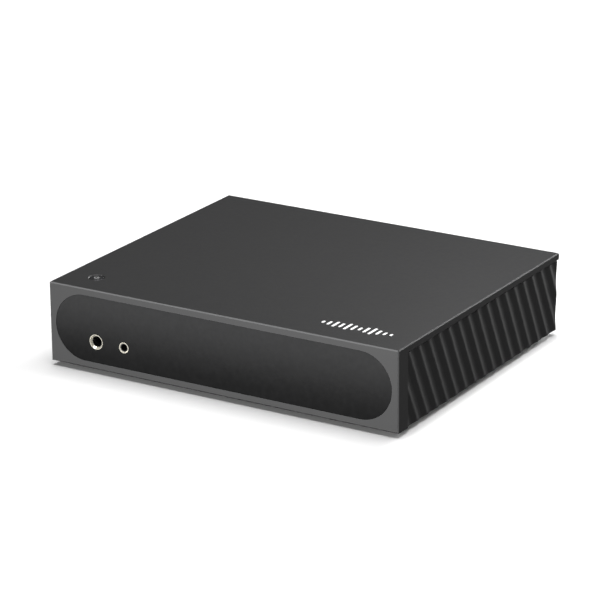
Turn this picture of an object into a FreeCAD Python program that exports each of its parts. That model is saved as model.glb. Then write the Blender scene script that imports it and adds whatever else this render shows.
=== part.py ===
import FreeCAD, Part
import math
import os
import re
import Sketcher

# A desktop digital-to-analogue converter with two headphone outputs: an L-shaped aluminium
# cover, two ribbed side panels, a steel bottom plate, a rear panel with its sockets, and the
# circuit boards inside. Millimetres. +X is the right-hand side seen from the front, +Y goes
# to the back, +Z is up, and the origin is at the middle of the footprint on the table.

V = FreeCAD.Vector
UP = V(0, 0, 1)
DOWN = V(0, 0, -1)
BACK = V(0, 1, 0)
FORWARD = V(0, -1, 0)

# Alias, value in millimetres, what it measures.
DIMENSIONS = [
    # the case
    ("width", 230, "cover, side to side"),
    ("cover_depth", 192, "cover, front face to rear edge"),
    ("body_height", 48, "cover, bottom edge to top face"),
    ("foot_height", 3, "gap between the table and the cover's bottom edge"),
    ("rear_reach", 6, "phono barrels, how far they stand out behind the cover"),
    ("top_thick", 4, "cover, top plate"),
    ("front_wall", 6, "cover, front wall between the side lips"),
    ("lip_depth", 10.5, "cover, side lips, front to back"),
    ("edge_chamfer", 0.6, "cover, outer edges"),
    ("side_width", 7, "from the cover's side face in to the side panel's inner face"),
    ("side_inset", 0.4, "rib crests, inside the cover's side face"),
    ("side_end_gap", 1.3, "side panel's rear end, inside the cover's rear edge"),
    ("side_start_gap", 0.2, "side panel's front end, behind the cover's lip"),
    ("side_core", 4.6, "side panel, plain slab behind the ribs"),
    ("shadow_gap", 0.8, "rebate along the top of the side panel"),
    ("shadow_depth", 2, "the same rebate, measured in from the rib crests"),
    ("rib_pitch", 11.22, "ribs, spacing along the panel"),
    ("rib_brow", 0.03, "ribs, where a crest's rounding starts, below the crest"),
    ("rib_shoulder", 0.165, "ribs, where a crest's rounding ends, below the crest"),
    ("rib_foot", 0.49, "ribs, where a hollow's curve ends, below the crest"),
    ("rib_round", 1.9, "ribs, the crest's rounding, front to back"),
    ("rib_brow_run", 0.55, "ribs, from the start of the rounding back to the crest"),
    ("rib_scoop", 4.7, "ribs, curved part of a hollow, front to back"),
    ("rib_slope", 0.5, "ribs, how far forward they lean for each unit of height"),
    ("rib_phase", 10.3, "from the cover's front face to a crest, at mid height"),
    ("rib_count", 22, "ribs in the pattern, before both ends are trimmed"),
    ("rib_root", 0.6, "ribs, how far they start inside the plain slab"),
    ("rib_lead", 4, "ribs in the pattern before the one that is measured"),
    ("rib_margin", 1, "ribs, above and below the cover before trimming"),
    ("ledge_width", 10, "side panel, inner ledge over the bottom plate"),
    ("ledge_thick", 3, "the same ledge, top to bottom"),
    ("corner_width", 8, "side panel, rear corner block, square"),
    ("corner_drop", 1, "side panel, rear corner block, below the top plate"),
    ("plate_drop", 1.6, "bottom plate, recess inside the cover's bottom edge"),
    ("plate_thick", 1.5, "bottom plate"),
    ("rear_inset", 2.5, "rear panel's outer face, inside the cover's rear edge"),
    ("rear_thick", 2, "rear panel"),
    ("fit_gap", 0.3, "gap around a panel or between a moving part and its guide"),
    # the front window
    ("window_margin", 4, "cover left around the window's recess"),
    ("window_thick", 3, "window"),
    ("window_sink", 0.1, "window's face, behind the cover's front face"),
    ("window_gap", 0.1, "gap around the window"),
    ("window_edge", 0.15, "window, front edge chamfer"),
    ("display_x", 10, "display, centre"),
    ("display_width", 90, "display panel"),
    ("display_height", 26, "display panel"),
    ("display_thick", 2.7, "display panel"),
    ("display_gap", 0.2, "display panel, behind the window"),
    ("display_margin", 5, "display board, outside the panel on each side"),
    ("display_headroom", 4, "display board, above and below the panel"),
    ("display_slack", 0.5, "front wall's opening, around the display panel"),
    ("display_screw_in", 2.5, "display screws, inside the board's left and right edges"),
    ("display_screw_up", 1.5, "display screws, above and below the panel"),
    # the headphone sockets
    ("jack_z", 19.7, "both headphone sockets, axis above the table"),
    ("jack_large_x", -83.3, "6.35 mm socket"),
    ("jack_small_x", -64.2, "4.4 mm socket"),
    ("bore_large", 3.2, "6.35 mm socket, bore radius"),
    ("bore_small", 2.25, "4.4 mm socket, bore radius"),
    ("ring_large", 4.5, "6.35 mm socket, ring's outer radius"),
    ("ring_small", 3.2, "4.4 mm socket, ring's outer radius"),
    ("dish_large", 1.3, "6.35 mm socket, depth of the ring's dish"),
    ("dish_small", 0.5, "4.4 mm socket, depth of the ring's dish"),
    ("ring_rim", 0.35, "flat rim of both rings"),
    ("ring_lip", 0.3, "both rings, behind the dish"),
    ("ring_sink", 0.05, "rings' face, behind the cover's front face"),
    ("jack_width_large", 14, "6.35 mm socket, body"),
    ("jack_width_small", 12, "4.4 mm socket, body"),
    ("jack_depth", 29, "both socket bodies, front to back"),
    ("nose_root", 1, "both socket bodies, how far the nose runs into the block"),
    ("jack_behind", 0.5, "both socket bodies, behind the cover's front wall"),
    ("jack_bore_large", 26.5, "6.35 mm socket, depth of the bore in its body"),
    ("jack_bore_small", 21, "4.4 mm socket, depth of the bore in its body"),
    # the power button
    ("button_x", -95.4, "power button"),
    ("button_back", 19.7, "power button, behind the cover's front face"),
    ("button_radius", 4.2, "power button, cap"),
    ("button_sink", 0.2, "power button's top, below the cover's top face"),
    ("button_collar", 5.5, "power button, radius of the collar under the top plate"),
    ("collar_thick", 0.9, "power button, the same collar"),
    ("button_bevel", 0.5, "power button, bevel around its hole"),
    ("cap_bevel", 0.3, "power button, bevel on its cap"),
    ("stem_seat", 0.1, "power button, how far the stem runs into the collar"),
    ("boss_offset", 9.2, "button board's screw bosses, in front of and behind the button"),
    ("boss_height", 6, "button board's screw bosses"),
    ("boss_radius", 3, "button board's screw bosses"),
    ("boss_floor", 1, "button board's screw bosses, left above the tapped holes"),
    ("switch_size", 6, "tact switch, square body"),
    ("switch_height", 3.4, "tact switch, body"),
    ("plunger_radius", 1.65, "tact switch, plunger"),
    ("plunger_reach", 1, "tact switch, plunger above the body"),
    ("plunger_root", 1.2, "tact switch, plunger inside the body"),
    ("plunger_well", 2, "tact switch, depth of the plunger's well"),
    ("button_board_half", 6, "button board, half its width"),
    ("button_board_end", 3.5, "button board, beyond each screw"),
    # screws, posts and feet
    ("thread_radius", 1.5, "M3 tapped hole"),
    ("shank_radius", 1.45, "M3 screw shank, just inside its tapped hole"),
    ("pass_radius", 1.7, "M3 clearance hole"),
    ("head_radius", 2.75, "M3 button head"),
    ("head_height", 1.6, "M3 button head"),
    ("key_corner", 1, "M3 button head, hexagonal socket, corner radius"),
    ("short_screw", 4, "board and side panel screws, under the head"),
    ("long_screw", 14, "cover screws, under the head"),
    ("thread_spare", 1, "tapped holes, beyond the end of their screw"),
    ("rear_screw", 7, "rear panel and XLR screws, under the head"),
    ("foot_screw", 6, "foot screws, under the head"),
    ("post_radius", 4.5, "cover's four screw posts"),
    ("post_x", 103, "cover's screw posts, each side of the middle"),
    ("post_front", -60, "cover's front screw posts"),
    ("post_rear", 62, "cover's rear screw posts"),
    ("side_screw_y", 30, "side panel screws, in front of and behind the middle"),
    ("corner_screw_x", 104, "rear panel screws, each side of the middle"),
    ("corner_screw_low", 13, "rear panel's lower screws"),
    ("corner_screw_high", 40, "rear panel's upper screws"),
    ("foot_radius", 9, "foot"),
    ("foot_seat_low", 2, "foot, roof of the seat for its screw's head, above the table"),
    ("foot_seat", 3.55, "foot, radius of the same seat"),
    ("foot_bevel", 1.5, "foot, sole's edge inside the foot's radius"),
    ("foot_waist", 0.5, "foot, inside its radius a little above the sole"),
    ("foot_sole", 1, "foot, height of the bevelled sole"),
    ("foot_x", 88, "feet, each side of the middle"),
    ("foot_front", -80, "front feet"),
    ("foot_rear", 74, "rear feet"),
    # circuit boards
    ("board_thick", 1.6, "every circuit board"),
    ("standoff", 5, "boards above the bottom plate"),
    ("standoff_flats", 5, "hexagonal standoff, across flats"),
    ("main_left", -97, "main board"),
    ("main_right", 63, "main board"),
    ("main_front", -60, "main board"),
    ("main_rear", 85, "main board"),
    ("supply_left", 66, "power supply board"),
    ("supply_right", 96, "power supply board"),
    ("supply_front", -57, "power supply board"),
    ("supply_rear", 58, "power supply board"),
    ("phones_left", -97, "headphone board"),
    ("phones_right", -52, "headphone board"),
    ("phones_front", -90.5, "headphone board"),
    ("phones_rear", -62, "headphone board"),
    # rear sockets
    ("port_proud", 0.5, "data sockets, beyond the rear panel's outer face"),
    ("port_gap", 0.25, "gap around a socket in the rear panel"),
    ("xlr_left_x", -86, "left XLR output"),
    ("xlr_right_x", -57, "right XLR output"),
    ("xlr_z", 26, "both XLR outputs"),
    ("xlr_flange_w", 26, "XLR flange"),
    ("xlr_flange_h", 31, "XLR flange"),
    ("xlr_flange_t", 2, "XLR flange"),
    ("xlr_shell", 11.8, "XLR shell, outer radius"),
    ("xlr_mouth", 9.5, "XLR shell, inner radius"),
    ("xlr_length", 20, "XLR shell, behind the rear panel's outer face"),
    ("xlr_mouth_depth", 15, "XLR shell, depth of the hollow"),
    ("xlr_pin_radius", 1.2, "XLR contact"),
    ("xlr_pin_circle", 4.5, "XLR contacts, radius of the circle they stand on"),
    ("xlr_pin_root", 3, "XLR contacts, seated behind the hollow"),
    ("xlr_pin_inset", 1.5, "XLR contacts, ends inside the flange's face"),
    ("xlr_screw_x", 9.5, "XLR screws, from the socket's axis"),
    ("xlr_screw_z", 12, "XLR screws, from the socket's axis"),
    ("phono_left_x", -35.5, "analogue phono pair"),
    ("phono_coax_x", -21, "coaxial digital input"),
    ("phono_low_z", 20, "lower phono sockets"),
    ("phono_high_z", 34, "upper phono socket"),
    ("phono_radius", 4.15, "phono barrel, outer radius"),
    ("phono_inner", 3.3, "phono barrel, inner radius"),
    ("phono_core", 1.65, "phono centre contact's hole"),
    ("phono_root", 2, "phono barrel, seated in its block"),
    ("phono_face_gap", 0.1, "phono block, behind the rear panel"),
    ("phono_lip", 0.4, "phono barrel, rounding of its mouth"),
    ("phono_sink", 0.6, "phono centre, inside the barrel's mouth"),
    ("phono_hole", 9, "phono centre contact's hole, depth"),
    ("phono_neck", 3.9, "phono barrel, radius inside the panel and the block"),
    ("block_width", 12, "phono block"),
    ("block_depth", 12, "phono block"),
    ("block_margin", 7, "phono block, above the upper socket's axis"),
    ("optical_x", -7.5, "optical input"),
    ("optical_width", 9.8, "optical input"),
    ("optical_height", 10, "optical input"),
    ("optical_depth", 14, "optical input"),
    ("optical_mouth", 7, "optical input, hollow, side to side"),
    ("optical_mouth_h", 7.2, "optical input, hollow, top to bottom"),
    ("optical_mouth_d", 10.8, "optical input, hollow, front to back"),
    ("optical_sill", 1.3, "optical input, under the hollow"),
    ("shutter_thick", 0.8, "optical shutter"),
    ("shutter_pin", 0.45, "optical shutter, hinge pin radius"),
    ("shutter_pin_gap", 0.05, "running clearance of the hinge pin"),
    ("shutter_hole", 1, "hinge holes, into each side of the hollow"),
    ("shutter_pin_end", 0.9, "hinge pin, into each side of the hollow"),
    ("shutter_pin_drop", 0.6, "hinge pin's axis, below the hollow's top"),
    ("shutter_inset", 0.9, "hinge pin's axis, inside the optical input's face"),
    ("usb_b_x", 6, "square USB socket"),
    ("usb_b_width", 12, "square USB socket"),
    ("usb_b_height", 11, "square USB socket"),
    ("usb_b_depth", 16, "square USB socket"),
    ("hdmi_x", 22, "I2S socket"),
    ("hdmi_width", 15, "I2S socket"),
    ("hdmi_height", 6, "I2S socket"),
    ("hdmi_depth", 12, "I2S socket"),
    ("ethernet_x", 39, "network socket"),
    ("ethernet_width", 16, "network socket"),
    ("ethernet_height", 13.4, "network socket"),
    ("ethernet_depth", 21, "network socket"),
    ("usb_a_x", 55, "flat USB socket"),
    ("usb_a_width", 13.2, "flat USB socket"),
    ("usb_a_height", 6.6, "flat USB socket"),
    ("usb_a_depth", 14, "flat USB socket"),
    ("shell_thick", 0.4, "steel shell of the data sockets"),
    ("port_mouth", 9, "data sockets, depth of the hollow"),
    ("tongue_inset", 1, "data sockets, tongues inside the shell's face"),
    ("plug_width", 11.9, "network socket, hollow for the plug"),
    ("plug_height", 8.2, "network socket, hollow for the plug"),
    ("plug_depth", 12, "network socket, hollow for the plug"),
    ("plug_low", 3.4, "network socket, the same hollow above the board"),
    ("latch_width", 6.2, "network socket, slot for the plug's latch"),
    ("latch_height", 2, "network socket, slot for the plug's latch"),
    ("latch_depth", 8, "network socket, slot for the plug's latch"),
    # mains inlet
    ("inlet_x", 82, "mains inlet"),
    ("inlet_width", 27, "mains inlet, body"),
    ("inlet_low", 9.7, "mains inlet, underside of the body"),
    ("inlet_height", 31, "mains inlet, body"),
    ("inlet_depth", 30, "mains inlet, body behind the rear panel's outer face"),
    ("inlet_flange", 2, "mains inlet, flange around the body"),
    ("inlet_face", 2.5, "mains inlet, flange thickness"),
    ("inlet_mouth_w", 24.4, "mains socket, hollow"),
    ("inlet_mouth_h", 16.9, "mains socket, hollow"),
    ("inlet_mouth_d", 16.5, "mains socket, hollow behind the flange's face"),
    ("inlet_corner", 4.5, "mains socket, cut corners"),
    ("inlet_mouth_z", 31.2, "mains socket, middle of the hollow"),
    ("blade_pitch", 7, "mains blades, outer ones from the middle one"),
    ("blade_thick", 2, "mains blade"),
    ("blade_height", 4, "mains blade"),
    ("blade_reach", 3, "mains blades, inside the flange's face"),
    ("blade_tail", 3.5, "mains blades, behind the inlet's body"),
    ("drawer_width", 22, "fuse drawer's channel"),
    ("drawer_height", 9, "fuse drawer's channel"),
    ("drawer_low", 11, "fuse drawer's channel, floor above the table"),
    ("drawer_depth", 28, "fuse drawer's channel"),
    ("drawer_face", 1.5, "fuse drawer, front plate"),
    ("drawer_lip", 0.8, "fuse drawer, front plate outside the channel"),
    ("drawer_floor", 1, "fuse drawer, floor"),
    ("drawer_behind", 1, "fuse drawer, gap behind it in its channel"),
    ("drawer_root", 0.5, "fuse drawer, the tray's run into its front plate"),
    ("grip_width", 6, "fuse drawer, finger notch"),
    ("grip_height", 1.5, "fuse drawer, finger notch"),
    ("fuse_inset", 4, "fuse, from the channel's end"),
    ("fuse_gap", 0.4, "fuse, gap around it in the drawer"),
    ("fuse_lift", 0.1, "fuse, above the drawer's floor"),
    ("fuse_radius", 2.6, "fuse, end caps"),
    ("fuse_glass", 2.4, "fuse, glass tube"),
    ("fuse_length", 20, "fuse"),
    ("fuse_cap", 5, "fuse, each end cap"),
    # wires
    ("mains_wire", 1.25, "mains wire, radius"),
    ("mains_bend", 6, "mains wires, radius of their bends"),
    ("supply_wire", 0.8, "low-voltage wire, radius"),
    ("supply_bend", 2.5, "low-voltage wires, radius of their bends"),
    ("mains_drop_y", 42, "mains wires, where they meet the supply board"),
    ("supply_wire_y", 20, "low-voltage wires, first of the row"),
    ("supply_wire_in", 2, "low-voltage wires, inside the supply board's edge"),
    ("supply_wire_gap", 3, "low-voltage wires, spacing"),
    ("supply_wire_top", 19, "low-voltage wires, top of the hop"),
    ("ribbon_width", 16, "display ribbon"),
    ("ribbon_thick", 0.3, "display ribbon"),
    ("ribbon_high", 24, "display ribbon, where it leaves the display's board"),
    ("ribbon_low", 17, "display ribbon, where it crosses to the main board"),
    ("ribbon_bend", 2, "display ribbon, radius of its bends"),
    ("ribbon_in", 3, "display ribbon, its end inside the main board's front edge"),
    # vents
    ("vent_start", -24, "bottom plate, first vent slot's left edge"),
    ("vent_width", 2.5, "bottom plate, vent slot"),
    ("vent_length", 40, "bottom plate, vent slot"),
    ("vent_pitch", 6, "bottom plate, vent slots, spacing"),
    ("vent_count", 9, "bottom plate, vent slots"),
]

# Levels and planes worked out from the sheet, as expressions.
FRONT = "(-(cover_depth + rear_reach) / 2)"
REAR = "((cover_depth - rear_reach) / 2)"
TIP = "((cover_depth + rear_reach) / 2)"
TOP = "(foot_height + body_height)"
CEILING = "(foot_height + body_height - top_thick)"
MIDDLE = "(foot_height + body_height / 2)"
WALL_BACK = f"({FRONT} + front_wall)"
RECESS = "(window_thick + window_sink)"
RECESS_FLOOR = f"({FRONT} + {RECESS})"
PLATE = "(foot_height + plate_drop)"
DECK = "(foot_height + plate_drop + plate_thick)"
BOARD = f"({DECK} + standoff)"
BOARD_TOP = f"({BOARD} + board_thick)"
SIDE_IN = "(width / 2 - side_width)"
CREST = "(width / 2 - side_inset)"
LEDGE_TOP = f"({DECK} + ledge_thick)"
PANEL_OUT = f"({REAR} - rear_inset)"
PANEL_IN = f"({PANEL_OUT} - rear_thick)"
PORT_FACE = f"({PANEL_OUT} + port_proud)"
SIDE_FRONT = f"({FRONT} + lip_depth + side_start_gap)"
SIDE_REAR = f"({REAR} - side_end_gap)"
SIDE_FLOOR = "(foot_height + fit_gap)"
BUTTON_Y = f"({FRONT} + button_back)"
JACK_BACK = f"({WALL_BACK} + jack_behind)"
INLET_FACE = f"({PANEL_OUT} + inlet_face)"
INLET_BACK = f"({PANEL_OUT} - inlet_depth)"
FUSE_START = f"({INLET_FACE} - drawer_depth + fuse_inset)"
BUTTON_BOARD = f"({CEILING} - boss_height - board_thick)"
SWITCH_TOP = f"({BUTTON_BOARD} + board_thick + switch_height)"
PLUNGER_TOP = f"({SWITCH_TOP} + plunger_reach)"
SHUTTER_Y = f"({PORT_FACE} - shutter_inset)"
SHUTTER_Z = f"({BOARD_TOP} + optical_sill + optical_mouth_h - shutter_pin_drop)"
DISPLAY_FACE = f"({RECESS_FLOOR} + display_gap)"
DISPLAY_BACK = f"({DISPLAY_FACE} + display_thick)"

doc = FreeCAD.newDocument("desktop_dac")
sheet = doc.addObject("Spreadsheet::Sheet", "dims")
for row, (alias, value, _) in enumerate(DIMENSIONS, start=1):
    sheet.set(f"A{row}", alias)
    sheet.set(f"B{row}", str(value))
    sheet.setAlias(f"B{row}", alias)
doc.recompute()

ALIAS = re.compile(r"\b(" + "|".join(alias for alias, _, _ in DIMENSIONS) + r")\b")
nodes = []


# --- helpers -----------------------------------------------------------------------------

def formula(text):
    """An expression with each alias written the way the document reads it."""
    return ALIAS.sub(lambda word: "dims." + word.group(), str(text))


def number(text):
    """The present value of an expression."""
    result = sheet.evalExpression(formula(text))
    return float(getattr(result, "Value", result))


def point(x, y, z):
    """A vector from three expressions."""
    return V(number(x), number(y), number(z))


def bind(item, name, text):
    """Ties one property to an expression on the sheet."""
    item.setExpression(name, formula(text))


def keep(item, node):
    """Names a finished sub-part and puts it on the list to be written."""
    item.Label = node
    nodes.append(item)
    return item


def box(name, low, size):
    """A block from its low corner and its three sizes."""
    item = doc.addObject("Part::Box", name)
    for side, text in zip(("Length", "Width", "Height"), size):
        bind(item, side, text)
    for axis, text in zip("xyz", low):
        bind(item, f"Placement.Base.{axis}", text)
    return item


TURNS = {
    "x": FreeCAD.Rotation(V(0, 1, 0), 90),
    "y": FreeCAD.Rotation(V(1, 0, 0), -90),
    "z": FreeCAD.Rotation(),
}


def round_item(kind, name, start, length, axis):
    """The common part of cylinders and cones that start at a point and run along +axis."""
    item = doc.addObject(kind, name)
    item.Placement = FreeCAD.Placement(V(), TURNS[axis])
    for letter, text in zip("xyz", start):
        bind(item, f"Placement.Base.{letter}", text)
    bind(item, "Height", length)
    return item


def cylinder(name, start, radius, length, axis="y"):
    """A cylinder from the middle of one end, running along +axis."""
    item = round_item("Part::Cylinder", name, start, length, axis)
    bind(item, "Radius", radius)
    return item


def cone(name, start, radii, length, axis="y"):
    """A cone frustum from the middle of one end, running along +axis."""
    item = round_item("Part::Cone", name, start, length, axis)
    bind(item, "Radius1", radii[0])
    bind(item, "Radius2", radii[1])
    return item


def fuse(name, *items):
    """Several overlapping items made into one."""
    joined = doc.addObject("Part::MultiFuse", name)
    joined.Shapes = list(items)
    return joined


def cut(name, base, *tools):
    """The base with every tool taken out of it."""
    result = doc.addObject("Part::Cut", name)
    result.Base = base
    result.Tool = tools[0] if len(tools) == 1 else fuse(name + "_tools", *tools)
    return result


def group(node, shapes):
    """Separate identical solids that share one node."""
    item = doc.addObject("Part::Feature", node)
    item.Shape = Part.makeCompound(shapes)
    item.Placement = FreeCAD.Placement()
    return keep(item, node)


def new_body(node):
    """An empty PartDesign body that will be written as this node."""
    return keep(doc.addObject("PartDesign::Body", node), node)


def origin_feature(body, role):
    """One of the body's own origin planes or axes."""
    return next(item for item in body.Origin.OriginFeatures if item.Role == role)


def sketch_on(body, role, level):
    """A sketch on an origin plane, shifted to a level along the axis the plane lacks."""
    sketch = body.newObject("Sketcher::SketchObject", body.Name + "_sketch")
    sketch.AttachmentSupport = [(origin_feature(body, role), "")]
    sketch.MapMode = "FlatFace"
    facing = "-1" if role == "XZ_Plane" else "1"
    bind(sketch, "AttachmentOffset.Base.z", f"{facing} * {level}")
    return sketch


def hold(sketch, geometry, end, x, y):
    """Fixes one point of a sketch at two expressions."""
    for kind, text in (("DistanceX", x), ("DistanceY", y)):
        rule = Sketcher.Constraint(kind, -1, 1, geometry, end, number(text))
        bind(sketch, f"Constraints[{sketch.addConstraint(rule)}]", text)


def chain(sketch, geometries, smooth=(), hollow=()):
    """Adds lines and arcs in a closed ring. The places in smooth are tangent to the next one.

    An arc runs counter-clockwise, so one that curves inwards, named in hollow, lies in the
    ring back to front."""
    first = sketch.GeometryCount
    for geometry in geometries:
        sketch.addGeometry(geometry, False)
    count = len(geometries)
    for step in range(count):
        joint = "Tangent" if step in smooth else "Coincident"
        after = (step + 1) % count
        leave = 1 if step in hollow else 2
        enter = 2 if after in hollow else 1
        sketch.addConstraint(Sketcher.Constraint(joint, first + step, leave, first + after, enter))
    return first


def outline(sketch, corners):
    """A closed polygon with every corner held at expressions."""
    spots = [point(x, y, 0) for x, y in corners]
    lines = [Part.LineSegment(a, b) for a, b in zip(spots, spots[1:] + spots[:1])]
    first = chain(sketch, lines)
    for step, (x, y) in enumerate(corners):
        hold(sketch, first + step, 1, x, y)


def rectangle(sketch, x_low, y_low, x_high, y_high):
    """A rectangle between two corners."""
    outline(sketch, [(x_low, y_low), (x_high, y_low), (x_high, y_high), (x_low, y_high)])


def panel_hole(sketch, x, z, width, height):
    """A rectangle about a middle point, in the sketch's own plane."""
    rectangle(sketch, f"{x} - ({width}) / 2", f"{z} - ({height}) / 2",
              f"{x} + ({width}) / 2", f"{z} + ({height}) / 2")


def circle(sketch, x, y, radius):
    """A circle about a held centre."""
    shape = Part.Circle(point(x, y, 0), UP, number(radius))
    index = sketch.addGeometry(shape, False)
    hold(sketch, index, 3, x, y)
    rule = Sketcher.Constraint("Radius", index, number(radius))
    bind(sketch, f"Constraints[{sketch.addConstraint(rule)}]", radius)


def stadium(sketch, length, height, middle):
    """A slot shape with full round ends, centred on x = 0."""
    radius = number(f"({height}) / 2")
    reach = number(f"(({length}) - ({height})) / 2")
    level = number(middle)
    right = Part.ArcOfCircle(Part.Circle(V(reach, level, 0), UP, radius), -math.pi / 2, math.pi / 2)
    left = Part.ArcOfCircle(Part.Circle(V(-reach, level, 0), UP, radius), math.pi / 2, 3 * math.pi / 2)
    upper = Part.LineSegment(V(reach, level + radius, 0), V(-reach, level + radius, 0))
    lower = Part.LineSegment(V(-reach, level - radius, 0), V(reach, level - radius, 0))
    first = chain(sketch, [right, upper, left, lower], range(4))
    centre = f"(({length}) - ({height})) / 2"
    hold(sketch, first, 3, centre, middle)
    hold(sketch, first + 2, 3, f"-({centre})", middle)
    sketch.addConstraint(Sketcher.Constraint("Equal", first, first + 2))
    rule = Sketcher.Constraint("Radius", first, radius)
    bind(sketch, f"Constraints[{sketch.addConstraint(rule)}]", f"({height}) / 2")


def pad(body, sketch, length, backwards=False):
    """Adds material from a sketch, along its plane's normal."""
    feature = body.newObject("PartDesign::Pad", body.Name + "_pad")
    feature.Profile = sketch
    feature.Reversed = backwards
    bind(feature, "Length", length)
    return feature


def pocket(body, sketch, depth, backwards=False):
    """Takes material out against the plane's normal, and checks that some went."""
    doc.recompute()
    before = body.Shape.Volume
    feature = body.newObject("PartDesign::Pocket", body.Name + "_pocket")
    feature.Profile = sketch
    feature.Reversed = backwards
    bind(feature, "Length", depth)
    doc.recompute()
    if body.Shape.Volume >= before:
        raise RuntimeError(f"{body.Label}: a pocket cuts nothing")
    return feature


def chamfer(body, size, wanted):
    """Bevels every edge that a test picks out."""
    doc.recompute()
    base = body.Tip
    names = [f"Edge{i}" for i, edge in enumerate(base.Shape.Edges, start=1) if wanted(edge)]
    feature = body.newObject("PartDesign::Chamfer", body.Name + "_chamfer")
    feature.Base = (base, names)
    bind(feature, "Size", size)
    return feature


def spans(edge, axis):
    """The edge's lowest and highest value along one axis."""
    limits = edge.BoundBox
    return getattr(limits, axis.upper() + "Min"), getattr(limits, axis.upper() + "Max")


def lies_at(edge, axis, value):
    """True where the whole edge has one value along an axis."""
    return all(abs(limit - value) < 0.01 for limit in spans(edge, axis))


# --- the case ----------------------------------------------------------------------------

def cover_shell():
    """Top plate and front block in one piece, with its screw posts and window recess."""
    body = new_body("cover_shell")
    half = "width / 2"
    top = sketch_on(body, "XY_Plane", CEILING)
    rectangle(top, f"-{half}", FRONT, half, REAR)
    pad(body, top, "top_thick")
    wall = sketch_on(body, "XY_Plane", "foot_height")
    rectangle(wall, f"-{half}", FRONT, half, WALL_BACK)
    pad(body, wall, f"{CEILING} - foot_height")
    lips = sketch_on(body, "XY_Plane", "foot_height")
    lip_back = f"{FRONT} + lip_depth"
    rectangle(lips, f"-{half}", FRONT, f"-{SIDE_IN}", lip_back)
    rectangle(lips, SIDE_IN, FRONT, half, lip_back)
    pad(body, lips, f"{CEILING} - foot_height")
    posts = sketch_on(body, "XY_Plane", LEDGE_TOP)
    for side in ("-post_x", "post_x"):
        for y in ("post_front", "post_rear"):
            circle(posts, side, y, "post_radius")
    pad(body, posts, f"{CEILING} - {LEDGE_TOP}")
    bosses = sketch_on(body, "XY_Plane", f"({CEILING} - boss_height)")
    for step in ("-boss_offset", "boss_offset"):
        circle(bosses, "button_x", f"{BUTTON_Y} + {step}", "boss_radius")
    pad(body, bosses, "boss_height")
    recess = sketch_on(body, "XZ_Plane", FRONT)
    stadium(recess, "width - 2 * window_margin", "body_height - 2 * window_margin", MIDDLE)
    pocket(body, recess, RECESS)
    cover_wall_holes(body)
    cover_top_holes(body)
    cover_edges(body)


def cover_wall_holes(body):
    """The front wall's openings for the display, the sockets' rings and the display screws."""
    holes = sketch_on(body, "XZ_Plane", RECESS_FLOOR)
    panel_hole(holes, "display_x", MIDDLE,
               "display_width + 2 * display_slack", "display_height + 2 * display_slack")
    circle(holes, "jack_large_x", "jack_z", "ring_large + window_gap")
    circle(holes, "jack_small_x", "jack_z", "ring_small + window_gap")
    for x, z in display_screw_spots():
        circle(holes, x, z, "thread_radius")
    pocket(body, holes, f"front_wall - {RECESS}")


def display_screw_spots():
    """The four display screws, in the corners of the display's board."""
    across = "(display_width / 2 + display_margin - display_screw_in)"
    upward = "(display_height / 2 + display_screw_up)"
    return [(f"display_x {a} {across}", f"{MIDDLE} {b} {upward}") for a in "-+" for b in "-+"]


def cover_top_holes(body):
    """The button's hole, and the tapped holes in the posts and bosses."""
    button = sketch_on(body, "XY_Plane", TOP)
    circle(button, "button_x", BUTTON_Y, "button_radius + fit_gap")
    pocket(body, button, "top_thick")
    threads = sketch_on(body, "XY_Plane", LEDGE_TOP)
    for side in ("-post_x", "post_x"):
        for y in ("post_front", "post_rear"):
            circle(threads, side, y, "thread_radius")
    pocket(body, threads, "long_screw - plate_thick - ledge_thick + thread_spare", backwards=True)
    small = sketch_on(body, "XY_Plane", f"({CEILING} - boss_height)")
    for step in ("-boss_offset", "boss_offset"):
        circle(small, "button_x", f"{BUTTON_Y} + {step}", "thread_radius")
    pocket(body, small, "boss_height - boss_floor", backwards=True)


def cover_edges(body):
    """Small bevels on the outer edges, and the dished edge around the button."""
    front, top, bottom = number(FRONT), number(TOP), number("foot_height")
    half = number("width / 2")

    def outer(edge):
        on_top = lies_at(edge, "z", top) and edge.Length > number("cover_depth") / 2
        on_front = lies_at(edge, "y", front)
        corner = on_front and any(lies_at(edge, "x", side) for side in (-half, half))
        return on_top or corner or (on_front and lies_at(edge, "z", bottom))

    chamfer(body, "edge_chamfer", outer)
    hole = 2 * math.pi * number("button_radius + fit_gap")
    chamfer(body, "button_bevel",
            lambda edge: lies_at(edge, "z", top) and abs(edge.Length - hole) < 0.01)


def front_window():
    """The smoked window that fills the recess, with the holes for the sockets' rings."""
    body = new_body("front_window")
    face = sketch_on(body, "XZ_Plane", RECESS_FLOOR)
    stadium(face, "width - 2 * window_margin - 2 * window_gap",
            "body_height - 2 * window_margin - 2 * window_gap", MIDDLE)
    pad(body, face, "window_thick")
    rings = sketch_on(body, "XZ_Plane", f"({FRONT} + window_sink)")
    circle(rings, "jack_large_x", "jack_z", "ring_large + window_gap")
    circle(rings, "jack_small_x", "jack_z", "ring_small + window_gap")
    pocket(body, rings, "window_thick")
    front = number(f"{FRONT} + window_sink")
    length = number("width") / 2
    height = number("body_height - 2 * window_margin - 2 * window_gap")
    chamfer(body, "window_edge",
            lambda edge: lies_at(edge, "y", front)
            and (edge.Length > length or abs(edge.Length - math.pi * height / 2) < 0.01))


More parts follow.
